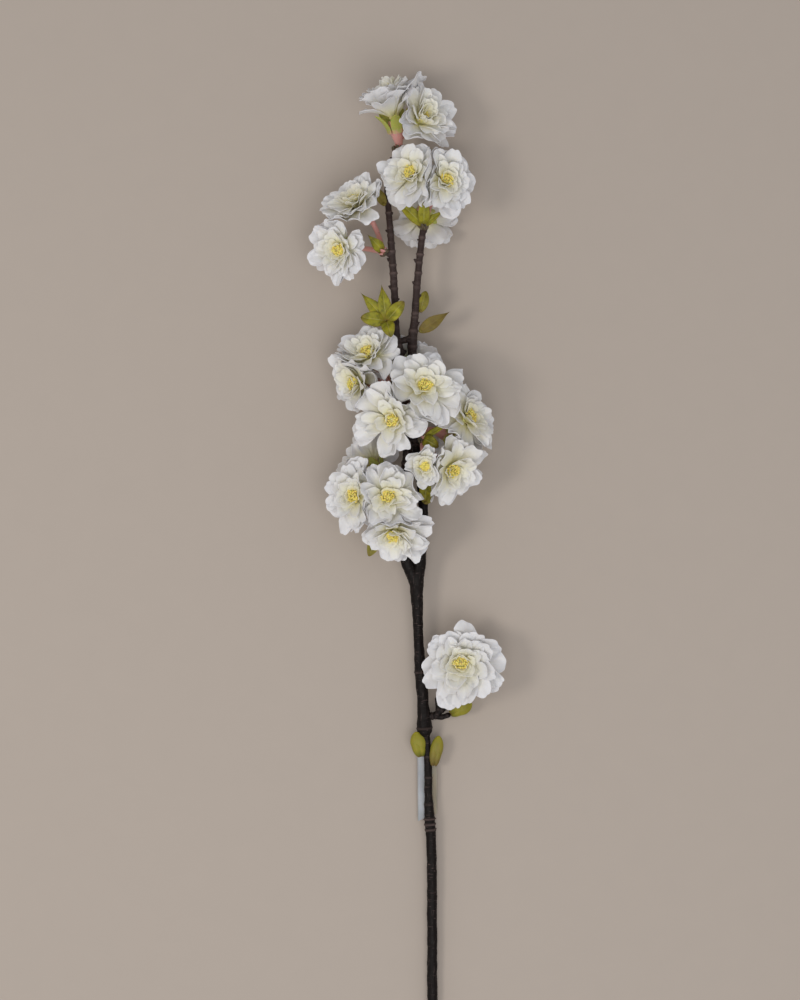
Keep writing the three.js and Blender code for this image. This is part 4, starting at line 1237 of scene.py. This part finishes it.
def petal_place(base, radius, petal, walls, settings):
    """The function that places a petal's points, across from -1 to 1 and along from root to tip."""
    outward = turned_by(petal.angle, base.right, base.up)
    sideways = base.axis.cross(outward)
    turn = petal.ends - petal.leaves
    if abs(turn) < STRAIGHTEST:
        turn = STRAIGHTEST
    ruffle = mix(radius * 0.4, petal.length, 0.7) * settings.ruffle
    lift = base.axis * petal.lift
    grain = Vector((petal.phase * 9, petal.angle * 7, 0))

    def place(across, along):
        # Its outline has rounded shoulders, a notch and an uneven end.
        run = along * (1 - SHOULDER_DROP * abs(across) ** 3)
        run -= petal.notch * math.exp(-((across / 0.2) ** 2)) * along ** 7
        run += 0.012 * math.sin(8 * across + petal.phase * 3) * along ** 5
        # It bends evenly from the angle at which it leaves the eye to that at which it ends.
        slope = petal.leaves + turn * run
        out = petal.root + petal.length * (math.sin(slope) - math.sin(petal.leaves)) / turn
        high = petal.length * (math.cos(petal.leaves) - math.cos(slope)) / turn
        half = petal.width / 2 * (0.1 + 0.9 * math.sin(math.pi / 2 * along) ** 1.3)
        # Off that bend it is cupped, waved, frilled, creased and dented, and it sways to one side.
        cup = half * across ** 2 * settings.cup + half * across * petal.lean
        wave = ruffle * along ** 3 * math.sin(3.6 * across + petal.phase)
        frill = ruffle * FRILL * along ** 4 * math.sin(8.5 * across + petal.phase * 2.3)
        hem = ruffle * FRILL * abs(across) ** 3 * math.sin(7.5 * along + petal.phase * 1.7 + across)
        crease = -CREASE * half * math.exp(-((across / 0.16) ** 2)) * (1 - along) ** 0.5
        spot = Vector((half * across, petal.length * along, 0)) / CRINKLE_SIZE + grain
        crinkle = CRINKLE_DEPTH * petal.reach * along * noise.noise(spot)
        face = base.axis * math.cos(slope) - outward * math.sin(slope)
        swing = sideways * (half * across + petal.twist * petal.length * run ** 2)
        point = outward * out + base.axis * (high + petal.seat) + swing
        point += face * (cup + wave + frill + hem + crease + crinkle)
        placed = clear_of_wood(bent_back(base.at + point * MM, walls, lift)) - base.at
        return base.at + placed * min(1.0, FARTHEST * radius * MM / max(placed.length, MM))

    return place


def add_eye(whole, bloom):
    """The low cone that petals and stamens grow from."""
    base = frame_of(bloom)
    scale = min(1.0, bloom.across / FITTED_TO)
    path = [(around(base, 0, 0, high), out * scale * MM) for out, high in EYE_OUTLINE]
    with part_of(whole, finish=1) as bm:
        sweep(bm, path, sides=14)


def cells_of(petal, bloom):
    """How many cells a petal's mesh has across and along: fewer for a smaller petal."""
    share = petal.length / bloom.across
    return next(cells for least, *cells in PETAL_CELLS if share > least)


def make_petals(bloom, settings):
    """A bloom's petals with the eye that they grow from."""
    whole = new_mesh("turn", "across", "along", "reach", "tone")
    base = frame_of(bloom)
    walls = walls_of(bloom)
    for petal in petals_of(bloom, walls):
        columns, rows = cells_of(petal, bloom)
        place = petal_place(base, bloom.across / 2, petal, walls, settings)
        with part_of(whole, tone=petal.tone, reach=petal.reach) as bm:
            sheet(bm, columns, rows, place, settings.thickness)
    add_eye(whole, bloom)
    keep_above_floor(whole)
    node = f"bloom_{bloom.name}_petals"
    publish(whole, f"petals_{bloom.name}", node, "petal", petal_white(settings), bloom_eye())


def add_stamen(whole, base, angle, lean, reach, settings, seed):
    """One thread on a slight curve, with a two-lobed anther at its tip."""
    foot = STAMEN_SCATTER * draw(seed, 1)
    path = []
    for index in range(THREAD_STATIONS + 1):
        share = index / THREAD_STATIONS
        out = foot + math.sin(lean) * reach * share ** 1.4
        high = STAMEN_SEAT + math.cos(lean) * reach * share
        path.append((around(base, angle + 0.25 * share, out, high), mix(*THREAD_RADII, share) * MM))
    with part_of(whole) as bm:
        rings = sweep(bm, path, sides=5)
        along = [THREAD_SHARE * index / THREAD_STATIONS for index in range(len(rings))]
        mark_rings(bm, "along", rings, along)
    tip = path[-1][0]
    heading = (tip - path[-2][0]).normalized()
    twist = (heading + Vector((spread(seed, 3, 0.6), spread(seed, 4, 0.6), 0))).to_track_quat("Y", "Z")
    radius = settings.anther_radius * mix(0.85, 1.15, draw(seed, 5))
    with part_of(whole, along=1.0) as bm:
        for vert in bmesh.ops.create_icosphere(bm, subdivisions=2, radius=1)["verts"]:
            waist = 1 - 0.28 * math.exp(-((vert.co.x / 0.3) ** 2))
            local = Vector((vert.co.x * 1.25, vert.co.y * waist * 0.85, vert.co.z * waist * 0.9))
            vert.co = tip + twist @ (local * radius)


def add_thread_bundle(whole, base, reach):
    """The threads' dense foot, as one body that widens towards the anthers."""
    path = [(around(base, 0, 0, STAMEN_SEAT + high * reach), out * MM) for high, out in THREAD_BUNDLE]
    with part_of(whole, along=0.6) as bm:
        sweep(bm, path, sides=12)


def make_stamens(bloom, settings):
    """A tuft of stamens. The outer ones lean farther out and are shorter."""
    whole = new_mesh("turn", "along")
    base = frame_of(bloom)
    seed = abs(bloom.at[1])
    scale = bloom.across / STAMENS_FITTED_TO
    add_thread_bundle(whole, base, settings.stamen_length / MM * scale)
    for index in range(settings.stamen_count):
        share = (index + 0.5) / settings.stamen_count
        angle = index * GOLDEN_ANGLE + seed
        angle += CLUMPING * math.sin(2 * angle + seed)
        lean = INNER_LEAN + LEAN_GAIN * share ** 0.55 + spread(seed, index, 0.08)
        reach = settings.stamen_length / MM * scale * mix(0.8, 1.12, draw(seed, index + 9))
        reach *= 1.08 - 0.22 * share
        add_stamen(whole, base, angle, lean, reach, settings, seed + index * 3.7)
    node = f"bloom_{bloom.name}_stamens"
    publish(whole, f"stamens_{bloom.name}", node, "stamen", stamen_yellow(settings))


# ---- Leaves, buds, stalks and cups ----


def leaf_half(along, blunt):
    """Half of a leaf's width, as a share of its widest."""
    if blunt:
        return math.sin(math.pi * along ** 0.95) ** 0.55
    return math.sin(math.pi * along ** 0.7) ** (0.75 + 0.9 * along)


def lie_of(foot, tip):
    """Where a leaf or scale starts, which way and how far it runs, and the two directions across it."""
    start = metres(foot)
    heading = metres(tip) - start
    reach = heading.length
    heading.normalize()
    side_way = heading.cross(Vector((0, 0, 1))).normalized()
    return start, heading, reach, side_way, side_way.cross(heading)


def add_leaf(whole, foot, leaf, finish=0, brown=0):
    """A leaf from its foot to its tip, with a sunken rib and a toothed rim."""
    start, heading, reach, side_way, lift = lie_of(foot, leaf.tip)
    half_width = leaf.width / 2 * MM
    half_thick = leaf.thickness / 2 * MM
    seed = abs(leaf.tip[0]) + leaf.tip[1]

    def place(across, along, side):
        tooth = 1 + LEAF_TOOTH * (abs((along * LEAF_TEETH) % 1 - 0.5) * 2) * min(1, along * 4)
        half = half_width * leaf_half(along, leaf.blunt) * tooth
        body = half_thick * (0.25 + 0.75 * leaf_half(along, leaf.blunt)) * side
        groove = LEAF_GROOVE * half_thick * math.exp(-((across / 0.14) ** 2)) * max(0, side)
        curl = half * LEAF_CURL * across ** 2 + half * 0.08 * math.sin(along * 9 + seed + across * 2)
        bow = reach * leaf.bow * math.sin(math.pi * along)
        high = bow + body - groove + curl
        return start + heading * (reach * along) - side_way * (half * across) + lift * high

    with part_of(whole, finish, brown=brown) as bm:
        lens(bm, columns=20, rows=40, place=place)


def add_scale(whole, foot, tip, width, thickness, turned=0.0, fullest=0.42, **values):
    """A plump scale of a closed bud, turned round its own length, and fullest at a share of its length."""
    start, heading, reach, side_way, lift = lie_of(foot, tip)
    turning = Matrix.Rotation(turned, 3, heading)
    half_width, half_thick = width / 2 * MM, thickness / 2 * MM
    bias = math.log(0.5) / math.log(fullest)

    def place(across, along, side):
        girth = math.sin(math.pi * along ** bias) ** 0.55
        seam = 0.1 * half_thick * math.exp(-((across / 0.12) ** 2)) * max(0, side)
        local = side_way * (-across * half_width * girth) + lift * (side * half_thick * girth - seam)
        return start + heading * (reach * along) + turning @ local

    with part_of(whole, **values) as bm:
        lens(bm, columns=24, rows=22, place=place)


def make_leaf_group(group, greens):
    """Young leaves that share a foot, with a small scale round it."""
    whole = new_mesh("across", "along", "brown")
    for leaf in group.leaves:
        add_leaf(whole, group.foot, leaf, brown=group.brown)
    foot, tip = Vector(group.foot), Vector(group.leaves[0].tip)
    add_scale(whole, foot, foot + (tip - foot).normalized() * 2.2, width=2.6, thickness=2.6, along=0.0)
    publish(whole, group.name.replace("leaf_", "leaves_"), group.name, "leaf", leaf_olive(greens))


def make_bud(group, greens):
    """A plump closed bud."""
    whole = new_mesh("across", "along", "brown")
    leaf = group.leaves[0]
    foot, tip = Vector(group.foot), Vector(leaf.tip)
    heading = (tip - foot).normalized()
    side = heading.cross(Vector((0, 0, 1))).normalized()
    for scale in BUD_SCALES:
        add_scale(
            whole,
            foot + side * scale.foot_aside,
            tip - heading * scale.short + side * scale.tip_aside,
            leaf.width * scale.width,
            leaf.thickness * scale.thickness,
            scale.turned,
            scale.fullest,
            brown=group.brown,
        )
    publish(whole, group.name.replace("bud_", "scales_of_bud_"), group.name, "leaf", bud_green(greens))


def stalk_path(umbel, bloom):
    """From an umbel's knob along the stalk and up the calyx to its mouth: stations and how ripe each is."""
    base = frame_of(bloom)
    scale = bloom.across / FITTED_TO
    neck = CUP_MOUTH - CALYX_LENGTH * scale
    start, end = metres(umbel.knob), around(base, 0, 0, neck)
    bend = metres(bloom.via) if bloom.via else end - base.axis * ((end - start).length * STALK_BEND)
    path, ripe = [], []
    for index in range(STALK_STATIONS):
        t = index / STALK_STATIONS
        at = start * (1 - t) ** 2 + bend * (2 * t * (1 - t)) + end * t ** 2
        path.append((at, mix(*STALK_RADII, math.sin(math.pi * t)) * MM))
        ripe.append(mix(*STALK_RIPE, t))
    for share, radius in CALYX_PROFILE:
        high = mix(neck, CUP_MOUTH, share)
        path.append((around(base, 0, 0, high), radius * min(scale, CALYX_WIDEST) * MM))
        ripe.append(mix(*CALYX_RIPE, share))
    return path, ripe


def add_stalk(whole, umbel, bloom):
    """A stalk with its calyx, faintly ribbed along its length."""
    path, ripe = stalk_path(umbel, bloom)
    with part_of(whole) as bm:
        rings = sweep(bm, path, sides=15, shape=lambda angle, _: 1 + 0.04 * math.cos(SEPALS * angle))
        mark_rings(bm, "ripe", rings, ripe)


def add_sepals(whole, bloom):
    """Five pointed sepals that stand up from the calyx and clasp the back of the petals."""
    base = frame_of(bloom)
    scale = bloom.across / FITTED_TO
    right = base.axis.cross(Vector((0.3, 0.2, 0.9))).normalized()
    up = base.axis.cross(right)
    steeper = SEPAL_REACH * math.tan(math.radians(bloom.rise))
    for index in range(SEPALS):
        outward = turned_by((index + 0.5) / SEPALS * TURN, right, up)
        sideways = base.axis.cross(outward)
        bulge = spread(bloom.at[1], index, 0.4)

        def place(across, along):
            half = SEPAL_HALF_WIDTH * scale * math.sqrt(max(0.0, 1 - along ** 1.7)) * (0.75 + 0.5 * along)
            out = mix(SEPAL_ROOT, SEPAL_REACH, along ** 1.6) * scale
            high = CUP_MOUTH - SEPAL_SEAT * scale + (SEPAL_RISE + steeper) * along ** 0.8
            high += 0.16 * half * across ** 2 + bulge * along ** 3
            point = outward * (out - 0.1 * half * across ** 2) + sideways * (half * across) + base.axis * high
            return base.at + point * MM

        with part_of(whole) as bm:
            sheet(bm, columns=6, rows=10, place=place, thickness=SEPAL_THICKNESS * MM)
            ripe, along_layer = layer(bm, "ripe"), layer(bm, "along")
            for vert in bm.verts:
                vert[ripe] = mix(*SEPAL_RIPE, min(1.0, vert[along_layer] * 2.2))


def add_knob(whole, umbel):
    """Small overlapping bud scales round the foot of an umbel."""
    knob = metres(umbel.knob)
    seed = abs(umbel.knob[1])
    outlook = Vector((0, 0, 0))
    for bloom in umbel.blooms:
        outlook += (metres(bloom.at) - knob).normalized()
    outlook.normalize()
    side = outlook.orthogonal().normalized()
    other = outlook.cross(side)
    foot = (knob - outlook * (KNOB_RADIUS * MM)) / MM
    greenest = 0.75 if umbel.leaves else 0.2
    for index in range(KNOB_SCALES):
        ring = index / (KNOB_SCALES - 1)
        angle = index * GOLDEN_ANGLE + seed
        lean = mix(1.3, 0.4, ring)
        outward = turned_by(angle, side, other)
        heading = outlook * math.cos(lean) + outward * math.sin(lean)
        tip = foot + heading * mix(*KNOB_SCALE_LENGTHS, ring) * (1 + spread(seed, index, 0.15))
        ripe = greenest * ring * draw(seed, index + 20)
        add_scale(whole, foot, tip, width=3.2, thickness=1.7, turned=angle, ripe=ripe)


def make_umbel(umbel, greens):
    """An umbel's stalks, calyces, sepals, bud scales and leaves."""
    whole = new_mesh("turn", "across", "along", "ripe", "brown")
    for bloom in umbel.blooms:
        add_stalk(whole, umbel, bloom)
        add_sepals(whole, bloom)
    add_knob(whole, umbel)
    for leaf in umbel.leaves:
        add_leaf(whole, umbel.knob, leaf, finish=1)
    keep_above_floor(whole)
    node = f"umbel_{umbel.name}"
    publish(whole, f"stalks_{umbel.name}", node, "calyx", stalk_pink(greens), leaf_olive(greens))


# ---- Label and stage ----


def make_label(stage):
    """A blank paper flag, folded lightly behind the trunk."""

    def place(across, along):
        share = across / 2
        x = mix(*LABEL_MIDDLE, along) + share * LABEL_WIDTH
        slant = LABEL_SLANT * (share + 0.5) * (1 - along)
        y = mix(LABEL_FROM, LABEL_TO, along) + slant
        high = mix(*LABEL_HEIGHTS, along) + LABEL_OPENING * math.sqrt(share ** 2 + 0.004)
        high += 0.25 * math.sin(along * 9 + share * 7)
        return Vector((x, y, high)) * MM

    whole = new_mesh("across", "along")
    with part_of(whole) as bm:
        sheet(bm, columns=18, rows=36, place=place, thickness=LABEL_THICKNESS * MM)
    publish(whole, "paper_label", "label", "paper", label_paper(stage))


def add_area_light(lamp, target, power):
    """A square soft light that faces the target."""
    light = bpy.data.lights.new(lamp.name, "AREA")
    light.energy = power
    light.size = lamp.size
    light.color = lamp.tint
    holder = bpy.data.objects.new(lamp.name, light)
    holder.location = lamp.place
    holder.rotation_euler = (target - Vector(lamp.place)).to_track_quat("-Z", "Y").to_euler()
    bpy.context.scene.collection.objects.link(holder)


def make_stage(stage):
    """A plain pale floor, soft light from the upper left, and a camera that looks straight down."""
    scene = bpy.context.scene
    bm = bmesh.new()
    bmesh.ops.create_grid(bm, x_segments=8, y_segments=8, size=FLOOR_REACH)
    mesh = bpy.data.meshes.new("floor")
    bm.to_mesh(mesh)
    bm.free()
    mesh.materials.append(floor_plain(stage))
    floor = bpy.data.objects.new("floor", mesh)
    scene.collection.objects.link(floor)
    floor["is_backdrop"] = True

    target = metres(VIEW_MIDDLE)
    for lamp in LAMPS:
        add_area_light(lamp, target, getattr(stage, lamp.name))
    world = bpy.data.worlds.new("room")
    world.use_nodes = True
    background = world.node_tree.nodes["Background"]
    background.inputs["Color"].default_value = (*ROOM_TINT, 1.0)
    background.inputs["Strength"].default_value = ROOM_LIGHT
    scene.world = world
    scene.view_settings.view_transform = "Standard"

    camera = bpy.data.cameras.new("camera")
    camera.lens = stage.lens
    camera.sensor_width = 36
    camera.clip_end = 20
    eye = bpy.data.objects.new("camera", camera)
    distance = VIEW_HEIGHT * MM * camera.lens / camera.sensor_width
    eye.location = target + Vector((0, 0, distance))
    scene.collection.objects.link(eye)
    scene.camera = eye


# ---- Operators and panel ----


class SprigOperator:
    bl_options = {"REGISTER", "UNDO"}


class SPRIG_OT_branch(SprigOperator, bpy.types.Operator):
    """Models the forked branch with its ringed bark, spurs and cut end"""

    bl_idname = "sprig.branch"
    bl_label = "Branch"

    def execute(self, context):
        make_branch(context.scene.sprig_wood)
        return {"FINISHED"}


class SPRIG_OT_petals(SprigOperator, bpy.types.Operator):
    """Models the petals of every bloom, ring by ring, round its eye"""

    bl_idname = "sprig.petals"
    bl_label = "Petals"

    def execute(self, context):
        for bloom in BLOOMS:
            make_petals(bloom, context.scene.sprig_blooms)
        return {"FINISHED"}


class SPRIG_OT_stamens(SprigOperator, bpy.types.Operator):
    """Models the stamens of every bloom"""

    bl_idname = "sprig.stamens"
    bl_label = "Stamens"

    def execute(self, context):
        for bloom in BLOOMS:
            make_stamens(bloom, context.scene.sprig_blooms)
        return {"FINISHED"}


class SPRIG_OT_umbels(SprigOperator, bpy.types.Operator):
    """Models each umbel: its bud scales, stalks, calyx cups, sepals and leaves"""

    bl_idname = "sprig.umbels"
    bl_label = "Umbels"

    def execute(self, context):
        for umbel in UMBELS:
            make_umbel(umbel, context.scene.sprig_greens)
        return {"FINISHED"}


class SPRIG_OT_leaves(SprigOperator, bpy.types.Operator):
    """Models the young leaves that spring straight from the bark"""

    bl_idname = "sprig.leaves"
    bl_label = "Leaves"

    def execute(self, context):
        for group in LEAF_GROUPS:
            make_leaf_group(group, context.scene.sprig_greens)
        return {"FINISHED"}


class SPRIG_OT_buds(SprigOperator, bpy.types.Operator):
    """Models the plump closed buds low on the branch"""

    bl_idname = "sprig.buds"
    bl_label = "Buds"

    def execute(self, context):
        for group in BUD_GROUPS:
            make_bud(group, context.scene.sprig_greens)
        return {"FINISHED"}


class SPRIG_OT_label(SprigOperator, bpy.types.Operator):
    """Models the blank paper label behind the trunk"""

    bl_idname = "sprig.label"
    bl_label = "Label"

    def execute(self, context):
        make_label(context.scene.sprig_stage)
        return {"FINISHED"}


class SPRIG_OT_stage(SprigOperator, bpy.types.Operator):
    """Sets up the floor, the lights and the camera"""

    bl_idname = "sprig.stage"
    bl_label = "Stage"

    def execute(self, context):
        make_stage(context.scene.sprig_stage)
        return {"FINISHED"}


OPERATORS = (
    SPRIG_OT_stage,
    SPRIG_OT_branch,
    SPRIG_OT_umbels,
    SPRIG_OT_petals,
    SPRIG_OT_stamens,
    SPRIG_OT_leaves,
    SPRIG_OT_buds,
    SPRIG_OT_label,
)
SETTINGS = {
    "sprig_wood": SprigWood,
    "sprig_blooms": SprigBlooms,
    "sprig_greens": SprigGreens,
    "sprig_stage": SprigStage,
}


class SPRIG_PT_panel(bpy.types.Panel):
    """Lists the sprig's pieces and what can be changed about them"""

    bl_label = "Cherry blossom sprig"
    bl_idname = "SPRIG_PT_panel"
    bl_space_type = "VIEW_3D"
    bl_region_type = "UI"
    bl_category = "Sprig"

    def draw(self, context):
        for operator in OPERATORS:
            self.layout.operator(operator.bl_idname)
        for name, group in SETTINGS.items():
            box = self.layout.box()
            for setting in group.__annotations__:
                box.prop(getattr(context.scene, name), setting)


CLASSES = (*SETTINGS.values(), *OPERATORS, SPRIG_PT_panel)


def register():
    for item in CLASSES:
        bpy.utils.register_class(item)
    for name, group in SETTINGS.items():
        setattr(bpy.types.Scene, name, bpy.props.PointerProperty(type=group))


def unregister():
    for name in SETTINGS:
        delattr(bpy.types.Scene, name)
    for item in reversed(CLASSES):
        bpy.utils.unregister_class(item)


def main():
    register()
    for operator in OPERATORS:
        group, name = operator.bl_idname.split(".")
        getattr(getattr(bpy.ops, group), name)()
    boxes = {"cad": CAD_BOX, "visual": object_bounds()}
    {name: [list(corner) for corner in box] for name, box in boxes.items()}


if __name__ == "__main__":
    main()
